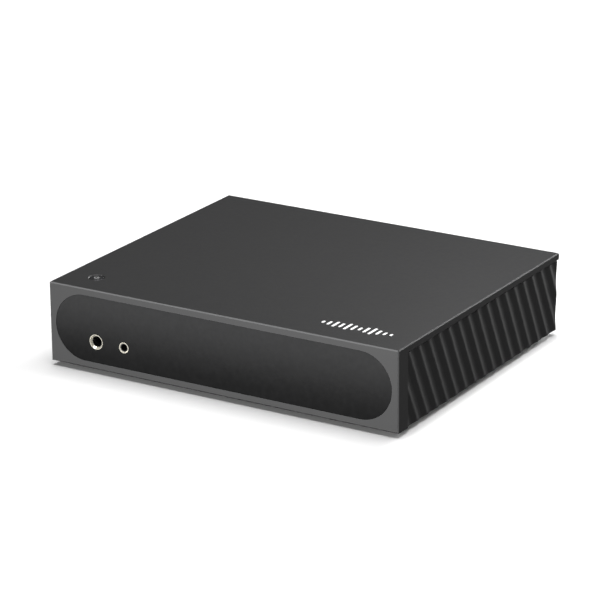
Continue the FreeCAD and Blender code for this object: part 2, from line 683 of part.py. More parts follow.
def side_panel_right():
    """A thick side panel with leaning hollow ribs, an inner ledge and a rear corner block."""
    body = new_body("side_panel_right")
    slab = sketch_on(body, "XY_Plane", SIDE_FLOOR)
    rectangle(slab, SIDE_IN, SIDE_FRONT, f"{SIDE_IN} + side_core", SIDE_REAR)
    pad(body, slab, f"{CEILING} - {SIDE_FLOOR}")
    ribs(body)
    ends = sketch_on(body, "YZ_Plane", "(width / 2)")
    rectangle(ends, f"{FRONT} - cover_depth", "0", SIDE_FRONT, f"2 * {TOP}")
    rectangle(ends, SIDE_REAR, "0", f"{REAR} + cover_depth", f"2 * {TOP}")
    pocket(body, ends, "side_width")
    edges = sketch_on(body, "YZ_Plane", "(width / 2)")
    rectangle(edges, FRONT, f"{CEILING} - shadow_gap", REAR, f"2 * {TOP}")
    pocket(body, edges, "side_inset + shadow_depth")
    spare = sketch_on(body, "YZ_Plane", "(width / 2)")
    rectangle(spare, FRONT, "0", REAR, SIDE_FLOOR)
    rectangle(spare, FRONT, CEILING, REAR, f"2 * {TOP}")
    pocket(body, spare, "side_width")
    ledge = sketch_on(body, "XY_Plane", DECK)
    rectangle(ledge, f"{SIDE_IN} - ledge_width", SIDE_FRONT, SIDE_IN, f"{PANEL_IN} - fit_gap")
    pad(body, ledge, "ledge_thick")
    block = sketch_on(body, "XY_Plane", DECK)
    rectangle(block, f"{SIDE_IN} - corner_width", f"{PANEL_IN} - fit_gap - corner_width",
              SIDE_IN, f"{PANEL_IN} - fit_gap")
    pad(body, block, f"{CEILING} - {DECK} - corner_drop")
    side_panel_holes(body)
    return body


def arc_between(start, end, turn):
    """An arc from one point on to another, turning counter-clockwise by an angle in radians."""
    chord = end - start
    radius = chord.Length / (2 * math.sin(turn / 2))
    middle = start + chord * 0.5
    centre = middle + UP.cross(chord).normalize() * (radius * math.cos(turn / 2))
    first = math.atan2(start.y - centre.y, start.x - centre.x)
    return Part.ArcOfCircle(Part.Circle(centre, UP, radius), first, first + turn)


def ribs(body):
    """One rib: a rounded crest, a hollow that is steep in front, then the row of them."""
    level = "(foot_height - rib_margin)"
    lean = f"rib_slope * ({MIDDLE} - {level})"
    start = f"({FRONT} + rib_phase - rib_brow_run + {lean} - rib_lead * rib_pitch)"
    root = f"({SIDE_IN} + side_core - rib_root)"
    corners = [(root, start), (f"{CREST} - rib_brow", start),
               (f"{CREST} - rib_shoulder", f"{start} + rib_round"),
               (f"{CREST} - rib_foot", f"{start} + rib_round + rib_scoop"),
               (f"{CREST} - rib_brow", f"{start} + rib_pitch"),
               (root, f"{start} + rib_pitch")]
    inner, brow, shoulder, foot_end, end, outer = (point(x, y, 0) for x, y in corners)
    scoop_turn = 2 * (end - foot_end).getAngle(foot_end - shoulder)
    entry = (foot_end - shoulder).getAngle(BACK) + scoop_turn / 2
    round_turn = 2 * (entry - (shoulder - brow).getAngle(BACK))
    profile = sketch_on(body, "XY_Plane", level)
    first = chain(profile, [
        Part.LineSegment(inner, brow),
        arc_between(brow, shoulder, round_turn),
        arc_between(foot_end, shoulder, scoop_turn),
        Part.LineSegment(foot_end, end),
        Part.LineSegment(end, outer),
        Part.LineSegment(outer, inner),
    ], smooth=(1, 2), hollow=(2,))
    for step, (x, y) in enumerate(corners):
        hold(profile, first + step, 2 if step == 2 else 1, x, y)
    rib_row(body, profile)


def rib_row(body, profile):
    """The profile drawn up along the ribs' lean, and repeated along the panel."""
    rib = pad(body, profile, "body_height + 2 * rib_margin")
    rib.UseCustomVector = True
    rib.Direction = V(0, -number("rib_slope"), 1)
    rib.AlongSketchNormal = True
    doc.recompute()
    row = body.newObject("PartDesign::LinearPattern", "rib_row")
    row.Originals = [rib]
    row.Direction = (origin_feature(body, "Y_Axis"), [""])
    row.Mode = "Spacing"
    bind(row, "Occurrences", "rib_count")
    bind(row, "Offset", "rib_pitch")
    body.Tip = row
    doc.recompute()


def side_panel_holes(body):
    """Clearance holes for the cover screws, and tapped holes for the plate and rear panel."""
    passing = sketch_on(body, "XY_Plane", LEDGE_TOP)
    for y in ("post_front", "post_rear"):
        circle(passing, "post_x", y, "pass_radius")
    for y in ("-side_screw_y", "side_screw_y"):
        circle(passing, "post_x", y, "thread_radius")
    pocket(body, passing, "ledge_thick")
    corner = sketch_on(body, "XZ_Plane", f"({PANEL_IN} - fit_gap)")
    for z in ("corner_screw_low", "corner_screw_high"):
        circle(corner, "corner_screw_x", z, "thread_radius")
    pocket(body, corner, "rear_screw - rear_thick + thread_spare", backwards=True)


def side_panel_left(right):
    """The mirror image of the right-hand side panel."""
    item = doc.addObject("Part::Mirroring", "side_panel_left")
    item.Source = right
    item.Normal = V(1, 0, 0)
    keep(item, "side_panel_left")


def bottom_plate():
    """The steel plate that carries the boards, with its holes and a field of vent slots."""
    body = new_body("bottom_plate")
    half = f"({SIDE_IN} - fit_gap)"
    outer = sketch_on(body, "XY_Plane", PLATE)
    rectangle(outer, f"-{half}", f"{WALL_BACK} + fit_gap", half, f"{PANEL_IN} - fit_gap")
    pad(body, outer, "plate_thick")
    holes = sketch_on(body, "XY_Plane", DECK)
    for side in "-+":
        for y in ("post_front", "post_rear", "-side_screw_y", "side_screw_y"):
            circle(holes, f"{side}post_x", y, "pass_radius")
        for y in ("foot_front", "foot_rear"):
            circle(holes, f"{side}foot_x", y, "thread_radius")
    pocket(body, holes, "plate_thick")
    slot = sketch_on(body, "XY_Plane", DECK)
    rectangle(slot, "vent_start", "-vent_length / 2", "vent_start + vent_width", "vent_length / 2")
    vent = pocket(body, slot, "plate_thick")
    row = body.newObject("PartDesign::LinearPattern", "vent_row")
    row.Originals = [vent]
    row.Direction = (origin_feature(body, "X_Axis"), [""])
    row.Mode = "Spacing"
    bind(row, "Occurrences", "vent_count")
    bind(row, "Offset", "vent_pitch")
    body.Tip = row


REAR_OPENINGS = [
    ("optical_x", "optical_width", "optical_height"),
    ("usb_b_x", "usb_b_width", "usb_b_height"),
    ("hdmi_x", "hdmi_width", "hdmi_height"),
    ("ethernet_x", "ethernet_width", "ethernet_height"),
    ("usb_a_x", "usb_a_width", "usb_a_height"),
]
PHONO_SPOTS = [
    ("phono_left_x", "phono_low_z"),
    ("phono_left_x", "phono_high_z"),
    ("phono_coax_x", "phono_low_z"),
]


def rear_panel():
    """The flat panel with one hole for each socket."""
    body = new_body("rear_panel")
    half = f"({SIDE_IN} - fit_gap)"
    outer = sketch_on(body, "XZ_Plane", PANEL_OUT)
    rectangle(outer, f"-{half}", PLATE, half, f"{CEILING} - fit_gap")
    pad(body, outer, "rear_thick")
    holes = sketch_on(body, "XZ_Plane", PANEL_IN)
    for x in ("xlr_left_x", "xlr_right_x"):
        circle(holes, x, "xlr_z", "xlr_shell + port_gap")
        circle(holes, f"{x} - xlr_screw_x", "xlr_z + xlr_screw_z", "thread_radius")
        circle(holes, f"{x} + xlr_screw_x", "xlr_z - xlr_screw_z", "thread_radius")
    for x, z in PHONO_SPOTS:
        circle(holes, x, z, "phono_radius + port_gap")
    for x, wide, high in REAR_OPENINGS:
        panel_hole(holes, x, f"{BOARD_TOP} + {high} / 2",
                   f"{wide} + 2 * port_gap", f"{high} + 2 * port_gap")
    panel_hole(holes, "inlet_x", "inlet_low + inlet_height / 2",
               "inlet_width + 2 * port_gap", "inlet_height + 2 * port_gap")
    for side in "-+":
        for z in ("corner_screw_low", "corner_screw_high"):
            circle(holes, f"{side}corner_screw_x", z, "pass_radius")
    pocket(body, holes, "rear_thick")


def foot(node, x, y):
    """A rubber foot: a turned disc with a deep seat for its screw's head."""
    body = new_body(node)
    profile = sketch_on(body, "XZ_Plane", "0")
    outline(profile, [
        ("pass_radius", PLATE),
        ("pass_radius", "foot_seat_low"),
        ("foot_seat", "foot_seat_low"),
        ("foot_seat", "0"),
        ("foot_radius - foot_bevel", "0"),
        ("foot_radius - foot_waist", "foot_sole"),
        ("foot_radius", PLATE),
    ])
    turned = body.newObject("PartDesign::Revolution", node + "_turned")
    turned.Profile = profile
    turned.ReferenceAxis = (profile, ["V_Axis"])
    turned.Angle = 360
    bind(body, "Placement.Base.x", x)
    bind(body, "Placement.Base.y", y)


# --- the headphone sockets and the display -----------------------------------------------

def socket_ring(node, x, outer, bore, dish):
    """A gold ring let into the window, dished down to the socket's bore."""
    start = f"({FRONT} + ring_sink)"
    blank = cylinder(node + "_blank", (x, start, "jack_z"), outer, f"{dish} + ring_lip")
    hole = cylinder(node + "_hole", (x, start, "jack_z"), bore, f"{dish} + ring_lip")
    sunk = cone(node + "_dish", (x, start, "jack_z"), (f"{outer} - ring_rim", bore), dish)
    keep(cut(node, blank, hole, sunk), node)


def headphone_jack(node, x, wide, outer, bore, dish, depth):
    """A socket body on the headphone board, its nose up to the ring, and its blind bore."""
    low = (f"{x} - {wide} / 2", JACK_BACK, BOARD_TOP)
    block = box(node + "_block", low, (wide, "jack_depth", f"2 * (jack_z - {BOARD_TOP})"))
    tip = f"({FRONT} + ring_sink + {dish} + ring_lip)"
    reach = f"{JACK_BACK} - {tip}"
    nose = cylinder(node + "_nose", (x, tip, "jack_z"), outer, f"{reach} + nose_root")
    hole = cylinder(node + "_bore", (x, tip, "jack_z"), bore, f"{reach} + {depth}")
    keep(cut(node, fuse(node + "_solid", block, nose), hole), node)


def display():
    """The display panel on its board, behind the window."""
    low = ("display_x - display_width / 2", DISPLAY_FACE, f"{MIDDLE} - display_height / 2")
    panel = box("display_panel", low, ("display_width", "display_thick", "display_height"))
    wide = "(display_width + 2 * display_margin)"
    high = "(display_height + 2 * display_headroom)"
    board = box("display_board", (f"display_x - {wide} / 2", DISPLAY_BACK, f"{MIDDLE} - {high} / 2"),
                (wide, "board_thick", high))
    holes = [cylinder(f"display_hole_{i}", (x, DISPLAY_BACK, z), "pass_radius", "board_thick")
             for i, (x, z) in enumerate(display_screw_spots())]
    keep(cut("display_module", fuse("display_solid", panel, board), *holes), "display_module")


# --- the power button --------------------------------------------------------------------

def power_button():
    """The cap with the collar that keeps it in, and the stem over the switch."""
    collar_low = f"({CEILING} - fit_gap - collar_thick)"
    top = f"({TOP} - button_sink)"
    cap = cylinder("button_cap", ("button_x", BUTTON_Y, collar_low), "button_radius",
                   f"{top} - {collar_low}", "z")
    bevel = doc.addObject("Part::Chamfer", "cap_edge")
    bevel.Base = cap
    doc.recompute()
    upper, size = number(top), number("cap_bevel")
    rim = next(i for i, edge in enumerate(cap.Shape.Edges, start=1) if lies_at(edge, "z", upper))
    bevel.Edges = [(rim, size, size)]
    collar = cylinder("button_ring", ("button_x", BUTTON_Y, collar_low), "button_collar",
                      "collar_thick", "z")
    stem = cylinder("button_stem", ("button_x", BUTTON_Y, PLUNGER_TOP), "plunger_radius",
                    f"{collar_low} - {PLUNGER_TOP} + stem_seat", "z")
    keep(fuse("power_button", bevel, collar, stem), "power_button")


def button_switch():
    """The tact switch and its plunger, which the button rests on."""
    base = f"({BUTTON_BOARD} + board_thick)"
    block = box("switch_block", ("button_x - switch_size / 2", f"{BUTTON_Y} - switch_size / 2", base),
                ("switch_size", "switch_size", f"{SWITCH_TOP} - {base}"))
    well = cylinder("switch_well", ("button_x", BUTTON_Y, f"{SWITCH_TOP} - plunger_well"),
                    "plunger_radius + fit_gap", "plunger_well", "z")
    keep(cut("button_switch", block, well), "button_switch")
    start = ("button_x", BUTTON_Y, f"{SWITCH_TOP} - plunger_root")
    keep(cylinder("switch_plunger", start, "plunger_radius", "plunger_reach + plunger_root", "z"),
         "switch_plunger")


def button_board():
    """The small board under the cover that carries the power switch."""
    body = new_body("button_board")
    face = sketch_on(body, "XY_Plane", BUTTON_BOARD)
    panel_hole(face, "button_x", BUTTON_Y,
               "2 * button_board_half", "2 * (boss_offset + button_board_end)")
    pad(body, face, "board_thick")
    holes = sketch_on(body, "XY_Plane", f"({BUTTON_BOARD} + board_thick)")
    for step in ("-boss_offset", "boss_offset"):
        circle(holes, "button_x", f"{BUTTON_Y} + {step}", "pass_radius")
    pocket(body, holes, "board_thick")


# --- circuit boards and what stands on them ----------------------------------------------

MAIN_SPOTS = [("-90", "-52"), ("56", "-52"), ("-90", "60"), ("56", "60"), ("-18", "4")]
SUPPLY_SPOTS = [("70", "-51"), ("92", "-51"), ("70", "52"), ("92", "52")]
PHONES_SPOTS = [("-94", "-66"), ("-55", "-66")]


def circuit_board(node, side, spots):
    """A board between four edges, with clearance holes for its screws."""
    body = new_body(node)
    face = sketch_on(body, "XY_Plane", BOARD)
    rectangle(face, *(f"{side}_{edge}" for edge in ("left", "front", "right", "rear")))
    pad(body, face, "board_thick")
    holes = sketch_on(body, "XY_Plane", BOARD_TOP)
    for x, y in spots:
        circle(holes, x, y, "pass_radius")
    pocket(body, holes, "board_thick")


def block_at(x, y, size, lift=0):
    """A plain component standing on the boards: centre, three sizes, height above the board."""
    low = point(f"{x} - {size[0]} / 2", f"{y} - {size[1]} / 2", f"{BOARD_TOP} + {lift}")
    return Part.makeBox(*size, low)


def can_at(x, y, radius, height):
    """A round can standing on the boards, with a rounded top edge and a groove at its foot."""
    can = Part.makeCylinder(radius, height, point(x, y, BOARD_TOP))
    top = [edge for edge in can.Edges if lies_at(edge, "z", number(BOARD_TOP) + height)]
    can = can.makeFillet(radius * CAN_ROUNDING, top)
    middle = point(x, y, f"{BOARD_TOP} + {GROOVE_UP}")
    return can.cut(Part.makeTorus(radius + GROOVE_OUT, GROOVE_RADIUS, middle))


# Cans: the top edge's rounding as a share of the radius, and the groove near the foot.
CAN_ROUNDING = 0.15
GROOVE_OUT = 0.25
GROOVE_RADIUS = 0.7
GROOVE_UP = 2.2

# Sizes of the plain components: side to side, front to back, height.
CHIP = (9, 9, 1.2)
CLOCK = (7, 5, 1.6)
RELAY = (15, 7.5, 10)
MODULE_BOARD = (46, 34, 1.2)
MODULE_SOCKET = (3, 28, 3)
MODULE_SHIELD = (26, 22, 2.4)
CORE_END = (26, 5, 20)
CORE_LEG = (5, 20, 20)
WINDING = (15.8, 14.8, 16)
COIL_SEAT = (12, 12, 3.5)
HEATSINK_FIN = (1.4, 7, 18)
HEATSINK_BACK = (21.4, 2, 18)

# Cans: radius, height.
SMALL_CAN = (4, 12.5)
LARGE_CAN = (5, 20)

# Middles of the larger parts: x, y.
MODULE_MIDDLE = (26, -18)
TRANSFORMER_MIDDLE = (81, 3)
COIL_MIDDLE = (81, 28)
HEATSINK_MIDDLE = (80, -44)


def main_board_parts():
    """The converter chips, clocks, capacitors, relays and the streaming module."""
    group("dac_chips", [block_at(x, -6, CHIP) for x in (-62, -40)])
    group("clock_oscillators", [block_at(x, 14, CLOCK) for x in (-62, -50)])
    group("output_relays", [block_at(x, y, RELAY) for x in (-78, -58) for y in (40, 52)])
    group("electrolytic_capacitors",
          [can_at(x, y, *SMALL_CAN) for x in (-84, -74, -64, -54) for y in (-40, -28, 26)])
    streaming_module()


def streaming_module():
    """A small board plugged onto two sockets, with a shielding can on it."""
    x, y = MODULE_MIDDLE
    lift = MODULE_SOCKET[2]
    base = block_at(x, y, MODULE_BOARD, lift)
    sockets = [block_at(x + step, y, MODULE_SOCKET) for step in (-18, 18)]
    shield = block_at(x - 4, y + 2, MODULE_SHIELD, lift + MODULE_BOARD[2])
    group("streaming_module", [base.multiFuse(sockets + [shield]).removeSplitter()])


def supply_parts():
    """The transformer, reservoir capacitors, mains filter and heat sink of the supply."""
    x, y = TRANSFORMER_MIDDLE
    core = [block_at(x, y + step, CORE_END) for step in (-10, 10)]
    legs = [block_at(x + step, y, CORE_LEG) for step in (-10.5, 10.5)]
    winding = block_at(x, y, WINDING, (CORE_END[2] - WINDING[2]) / 2)
    group("psu_transformer", [core[0].multiFuse(core[1:] + legs + [winding]).removeSplitter()])
    group("psu_capacitors", [can_at(x, y, *LARGE_CAN) for x in (74, 88) for y in (-20, -33)])
    line_filter()
    heatsink()


def line_filter():
    """A ring core lying in its seat."""
    x, y = COIL_MIDDLE
    ring_radius, wire_radius, lift = 6.5, 3.2, 4.2
    coil = Part.makeTorus(ring_radius, wire_radius, point(x, y, f"{BOARD_TOP} + {lift}"))
    group("psu_line_filter", [coil.fuse(block_at(x, y, COIL_SEAT))])


def heatsink():
    """Six fins on a back plate."""
    x, y = HEATSINK_MIDDLE
    fin_pitch, fin_count = 4, 6
    first = x - fin_pitch * (fin_count - 1) / 2
    fins = [block_at(first + fin_pitch * step, y, HEATSINK_FIN) for step in range(fin_count)]
    back = block_at(x, y + HEATSINK_FIN[1] / 2, HEATSINK_BACK)
    group("psu_heatsink", [back.multiFuse(fins).removeSplitter()])


def standoffs():
    """Hexagonal pillars between the bottom plate and the boards, tapped right through."""
    pillars = []
    corner = number("standoff_flats") / math.sqrt(3)
    height, thread = number("standoff"), number("thread_radius")
    for x, y in MAIN_SPOTS + SUPPLY_SPOTS + PHONES_SPOTS:
        base = point(x, y, DECK)
        pillars.append(hexagon(base, corner, height).cut(Part.makeCylinder(thread, height, base)))
    group("board_standoffs", pillars)


# --- screws ------------------------------------------------------------------------------

# Shares of a screw head's height: its rounding and the depth of its hexagonal socket.
CROWN_ROUNDING = 0.55
KEY_DEPTH = 0.6


def hexagon(middle, corner, height):
    """An upright hexagonal prism from the middle of its base and its corner radius."""
    angles = [step * math.pi / 3 for step in range(7)]
    ring = [middle + V(corner * math.cos(a), corner * math.sin(a), 0) for a in angles]
    return Part.Face(Part.makePolygon(ring)).extrude(V(0, 0, height))


def screw(seat, into, length):
    """A button-head screw with a hexagonal socket: its seat, its direction and its shank."""
    head_radius, head_height = number("head_radius"), number("head_height")
    head = Part.makeCylinder(head_radius, head_height, V(0, 0, -head_height))
    crown = [edge for edge in head.Edges if lies_at(edge, "z", -head_height)]
    head = head.makeFillet(head_height * CROWN_ROUNDING, crown)
    shank = Part.makeCylinder(number("shank_radius"), number(length))
    key = hexagon(V(0, 0, -head_height), number("key_corner"), head_height * KEY_DEPTH)
    made = head.fuse(shank).removeSplitter().cut(key)
    made.Placement = FreeCAD.Placement(seat, FreeCAD.Rotation(UP, into))
    return made


def screws():
    """Every screw, grouped by what it holds."""
    boards = [screw(point(x, y, BOARD_TOP), DOWN, "short_screw")
              for x, y in MAIN_SPOTS + SUPPLY_SPOTS + PHONES_SPOTS]
    boards += [screw(point("button_x", f"{BUTTON_Y} + {step}", BUTTON_BOARD), UP, "short_screw")
               for step in ("-boss_offset", "boss_offset")]
    behind = f"{DISPLAY_BACK} + board_thick"
    boards += [screw(point(x, behind, z), FORWARD, "short_screw") for x, z in display_screw_spots()]
    group("board_screws", boards)
    sides = ("-", "+")
    group("cover_screws", [screw(point(f"{side}post_x", y, PLATE), UP, "long_screw")
                           for side in sides for y in ("post_front", "post_rear")])
    group("side_panel_screws", [screw(point(f"{side}post_x", y, PLATE), UP, "short_screw")
                                for side in sides for y in ("-side_screw_y", "side_screw_y")])
    group("foot_screws", [screw(point(f"{side}foot_x", y, "foot_seat_low"), UP, "foot_screw")
                          for side in sides for y in ("foot_front", "foot_rear")])
    corners = [point(f"{side}corner_screw_x", PANEL_OUT, f"corner_screw_{end}")
               for side in sides for end in ("low", "high")]
    group("rear_panel_screws", [screw(corner, FORWARD, "rear_screw") for corner in corners])
    spots = [(f"{x} {a} xlr_screw_x", f"xlr_z {b} xlr_screw_z")
             for x in ("xlr_left_x", "xlr_right_x") for a, b in (("-", "+"), ("+", "-"))]
    group("xlr_screws", [screw(point(x, f"{PANEL_OUT} + xlr_flange_t", z), FORWARD, "rear_screw")
                         for x, z in spots])


# --- rear sockets ------------------------------------------------------------------------

def xlr_output(node, x):
    """A three-pin output: a flange on the panel and a round shell that is open to the rear."""
    face = f"({PANEL_OUT} + xlr_flange_t)"
    flange = box(node + "_flange", (f"{x} - xlr_flange_w / 2", PANEL_OUT, "xlr_z - xlr_flange_h / 2"),
                 ("xlr_flange_w", "xlr_flange_t", "xlr_flange_h"))
    back = f"({PANEL_OUT} - xlr_length)"
    shell = cylinder(node + "_shell", (x, back, "xlr_z"), "xlr_shell", f"{face} - {back}")
    floor = f"({face} - xlr_mouth_depth)"
    mouth = cylinder(node + "_mouth", (x, floor, "xlr_z"), "xlr_mouth", "xlr_mouth_depth")
    tools = [mouth]
    for a, b in (("-", "+"), ("+", "-")):
        spot = (f"{x} {a} xlr_screw_x", PANEL_OUT, f"xlr_z {b} xlr_screw_z")
        tools.append(cylinder(f"{node}_screw_{len(tools)}", spot, "pass_radius", "xlr_flange_t"))
    for pin_x, pin_z in pin_offsets():
        start = (f"{x} + {pin_x}", f"{floor} - xlr_pin_root", f"xlr_z + {pin_z}")
        tools.append(cylinder(f"{node}_seat_{len(tools)}", start, "xlr_pin_radius", "xlr_pin_root"))
    keep(cut(node, fuse(node + "_blank", flange, shell), *tools), node)


def pin_offsets():
    """The three contacts of an XLR output, from its axis."""
    angles = (30, 150, 270)
    return [(f"xlr_pin_circle * {math.cos(math.radians(a)):.6f}",
             f"xlr_pin_circle * {math.sin(math.radians(a)):.6f}") for a in angles]


# The rounding of an XLR contact's end, as a share of its radius.
PIN_ROUNDING = 0.8


def xlr_contacts():
    """Six round-ended pins, three in each XLR output."""
    pins = []
    start = f"{PANEL_OUT} + xlr_flange_t - xlr_mouth_depth - xlr_pin_root"
    radius = number("xlr_pin_radius")
    length = number("xlr_mouth_depth + xlr_pin_root - xlr_pin_inset")
    for x in ("xlr_left_x", "xlr_right_x"):
        for pin_x, pin_z in pin_offsets():
            base = point(f"{x} + {pin_x}", start, f"xlr_z + {pin_z}")
            pin = Part.makeCylinder(radius, length, base, BACK)
            end = [edge for edge in pin.Edges if lies_at(edge, "y", base.y + length)]
            pins.append(pin.makeFillet(radius * PIN_ROUNDING, end))
    group("xlr_contacts", pins)


def phono_block(node, x, axes):
    """The moulded block on the main board that holds one or two phono barrels."""
    top = f"({axes[-1]} + block_margin)"
    face = f"({PANEL_IN} - phono_face_gap)"
    block = box(node + "_blank", (f"{x} - block_width / 2", f"{face} - block_depth", BOARD_TOP),
                ("block_width", "block_depth", f"{top} - {BOARD_TOP}"))
    seats = [cylinder(f"{node}_seat_{i}", (x, f"{face} - phono_root", z), "phono_neck", "phono_root")
             for i, z in enumerate(axes)]
    keep(cut(node, block, *seats), node)


def phono_barrels():
    """The plated barrels, each with a thinner neck through the panel, and their centres."""
    start = f"{PANEL_IN} - phono_face_gap - phono_root"
    length = number(f"{TIP} - ({start})")
    neck = number(f"{PANEL_OUT} - ({start})")
    outer, inner, core = number("phono_radius"), number("phono_inner"), number("phono_core")
    lip, sink, depth = number("phono_lip"), number("phono_sink"), number("phono_hole")
    barrels, centres = [], []
    for x, z in PHONO_SPOTS:
        base = point(x, start, z)
        tube = Part.makeCylinder(outer, length - neck, base + BACK * neck, BACK)
        mouth = [edge for edge in tube.Edges if lies_at(edge, "y", base.y + length)]
        stem = Part.makeCylinder(number("phono_neck"), neck, base, BACK)
        barrel = tube.makeFillet(lip, mouth).fuse(stem)
        barrels.append(barrel.cut(Part.makeCylinder(inner, length, base, BACK)))
        plug = Part.makeCylinder(inner, length - sink, base, BACK)
        hole = Part.makeCylinder(core, depth, base + BACK * (length - depth), BACK)
        centres.append(plug.cut(hole))
    group("rca_barrels", barrels)
    group("rca_insulators", centres)


def optical_input():
    """The optical socket: a block with a square hollow and a hinge hole on each side."""
    face = PORT_FACE
    low = ("optical_x - optical_width / 2", f"{face} - optical_depth", BOARD_TOP)
    block = box("optical_block", low, ("optical_width", "optical_depth", "optical_height"))
    side = "optical_x - optical_mouth / 2"
    corner = (side, f"{face} - optical_mouth_d", f"{BOARD_TOP} + optical_sill")
    hollow = box("optical_hollow", corner, ("optical_mouth", "optical_mouth_d", "optical_mouth_h"))
    hinge = cylinder("optical_hinge", (f"{side} - shutter_hole", SHUTTER_Y, SHUTTER_Z),
                     "shutter_pin + shutter_pin_gap", "optical_mouth + 2 * shutter_hole", "x")
    keep(cut("optical_input", block, hollow, hinge), "optical_input")


def optical_shutter():
    """The flap that closes the optical socket, with a pin at each end of its top edge."""
    wide = "(optical_mouth - 2 * fit_gap)"
    low = f"({BOARD_TOP} + optical_sill + fit_gap)"
    plate = box("shutter_plate", (f"optical_x - {wide} / 2", f"{SHUTTER_Y} - shutter_thick / 2", low),
                (wide, "shutter_thick", f"{SHUTTER_Z} - {low}"))
    knuckle = cylinder("shutter_knuckle", (f"optical_x - {wide} / 2", SHUTTER_Y, SHUTTER_Z),
                       "shutter_thick / 2", wide, "x")
    pin_start = ("optical_x - optical_mouth / 2 - shutter_pin_end", SHUTTER_Y, SHUTTER_Z)
    pin = cylinder("shutter_pins", pin_start, "shutter_pin", "optical_mouth + 2 * shutter_pin_end", "x")
    keep(fuse("optical_shutter", plate, knuckle, pin), "optical_shutter")


def steel_port(node, side):
    """A folded steel socket shell on the main board, open to the rear."""
    wide, high, deep = (f"{side}_{size}" for size in ("width", "height", "depth"))
    low = (f"{side}_x - {wide} / 2", f"{PORT_FACE} - {deep}", BOARD_TOP)
    shell = box(node + "_shell", low, (wide, deep, high))
    inner_low = (f"{side}_x - {wide} / 2 + shell_thick", f"{PORT_FACE} - port_mouth",
                 f"{BOARD_TOP} + shell_thick")
    inner_size = (f"{wide} - 2 * shell_thick", "port_mouth", f"{high} - 2 * shell_thick")
    keep(cut(node, shell, box(node + "_hollow", inner_low, inner_size)), node)


# Socket, tongue's width and height, and its underside above the board.
TONGUES = [
    ("usb_b", 5.6, 3, 3),
    ("hdmi", 11.4, 1.6, 2.2),
    ("usb_a", 10.8, 1.8, 3.8),
]


def port_tongues():
    """The plastic tongues inside the two USB sockets and the I2S socket."""
    tongues = []
    for side, wide, high, lift in TONGUES:
        low = point(f"{side}_x - {wide} / 2", f"{PORT_FACE} - port_mouth", f"{BOARD_TOP} + {lift}")
        tongues.append(Part.makeBox(wide, number("port_mouth - tongue_inset"), high, low))
    group("port_tongues", tongues)


def ethernet_port():
    """The network socket: a stepped hollow for the plug and its latch."""
    low = ("ethernet_x - ethernet_width / 2", f"{PORT_FACE} - ethernet_depth", BOARD_TOP)
    shell = box("ethernet_shell", low, ("ethernet_width", "ethernet_depth", "ethernet_height"))
    plug_low = ("ethernet_x - plug_width / 2", f"{PORT_FACE} - plug_depth", f"{BOARD_TOP} + plug_low")
    plug = box("ethernet_hollow", plug_low, ("plug_width", "plug_depth", "plug_height"))
    latch_low = ("ethernet_x - latch_width / 2", f"{PORT_FACE} - latch_depth",
                 f"{BOARD_TOP} + plug_low - latch_height")
    latch = box("ethernet_latch", latch_low, ("latch_width", "latch_depth", "latch_height"))
    keep(cut("ethernet_port", shell, plug, latch), "ethernet_port")


# --- the mains inlet ---------------------------------------------------------------------

# Each blade's middle, from the middle of the socket's hollow.
BLADES = [
    ("-blade_pitch", "-blade_height / 2"),
    ("0", "blade_height / 2"),
    ("blade_pitch", "-blade_height / 2"),
]


def mains_inlet():
    """The inlet's moulded body: flange, socket hollow, and the fuse drawer's channel."""
    flange_low = ("inlet_x - inlet_width / 2 - inlet_flange", PANEL_OUT, "inlet_low - inlet_flange")
    flange = box("inlet_flange_plate", flange_low,
                 ("inlet_width + 2 * inlet_flange", "inlet_face", "inlet_height + 2 * inlet_flange"))
    body = box("inlet_block", ("inlet_x - inlet_width / 2", INLET_BACK, "inlet_low"),
               ("inlet_width", "inlet_depth + inlet_face", "inlet_height"))
    channel_low = ("inlet_x - drawer_width / 2", f"{INLET_FACE} - drawer_depth", "drawer_low")
    channel = box("inlet_channel", channel_low, ("drawer_width", "drawer_depth", "drawer_height"))
    solid = fuse("inlet_solid", flange, body)
    keep(cut("mains_inlet", solid, inlet_mouth(), channel, *blade_blanks("seat")), "mains_inlet")


def inlet_mouth():
    """The socket's hollow, a rectangle with two cut corners, as a prism."""
    left, right = "inlet_x - inlet_mouth_w / 2", "inlet_x + inlet_mouth_w / 2"
    low, high = "inlet_mouth_z - inlet_mouth_h / 2", "inlet_mouth_z + inlet_mouth_h / 2"
    body = doc.addObject("PartDesign::Body", "inlet_mouth")
    face = sketch_on(body, "XZ_Plane", INLET_FACE)
    outline(face, [(left, low), (right, low), (right, f"{high} - inlet_corner"),
                   (f"{right} - inlet_corner", high), (f"{left} + inlet_corner", high),
                   (left, f"{high} - inlet_corner")])
    pad(body, face, "inlet_mouth_d")
    return body


def blade_blanks(label):
    """The three mains blades as plain bars: two in a row, and one raised between them."""
    start = f"{INLET_BACK} - blade_tail"
    length = f"{INLET_FACE} - blade_reach - ({start})"
    bars = []
    for x, z in BLADES:
        low = (f"inlet_x + {x} - blade_thick / 2", start, f"inlet_mouth_z + {z} - blade_height / 2")
        bars.append(box(f"blade_{label}_{len(bars)}", low, ("blade_thick", length, "blade_height")))
    return bars


def mains_inlet_pins():
    """The three blades, as one node of separate solids."""
    item = doc.addObject("Part::Compound", "mains_inlet_pins")
    item.Links = blade_blanks("pin")
    keep(item, "mains_inlet_pins")


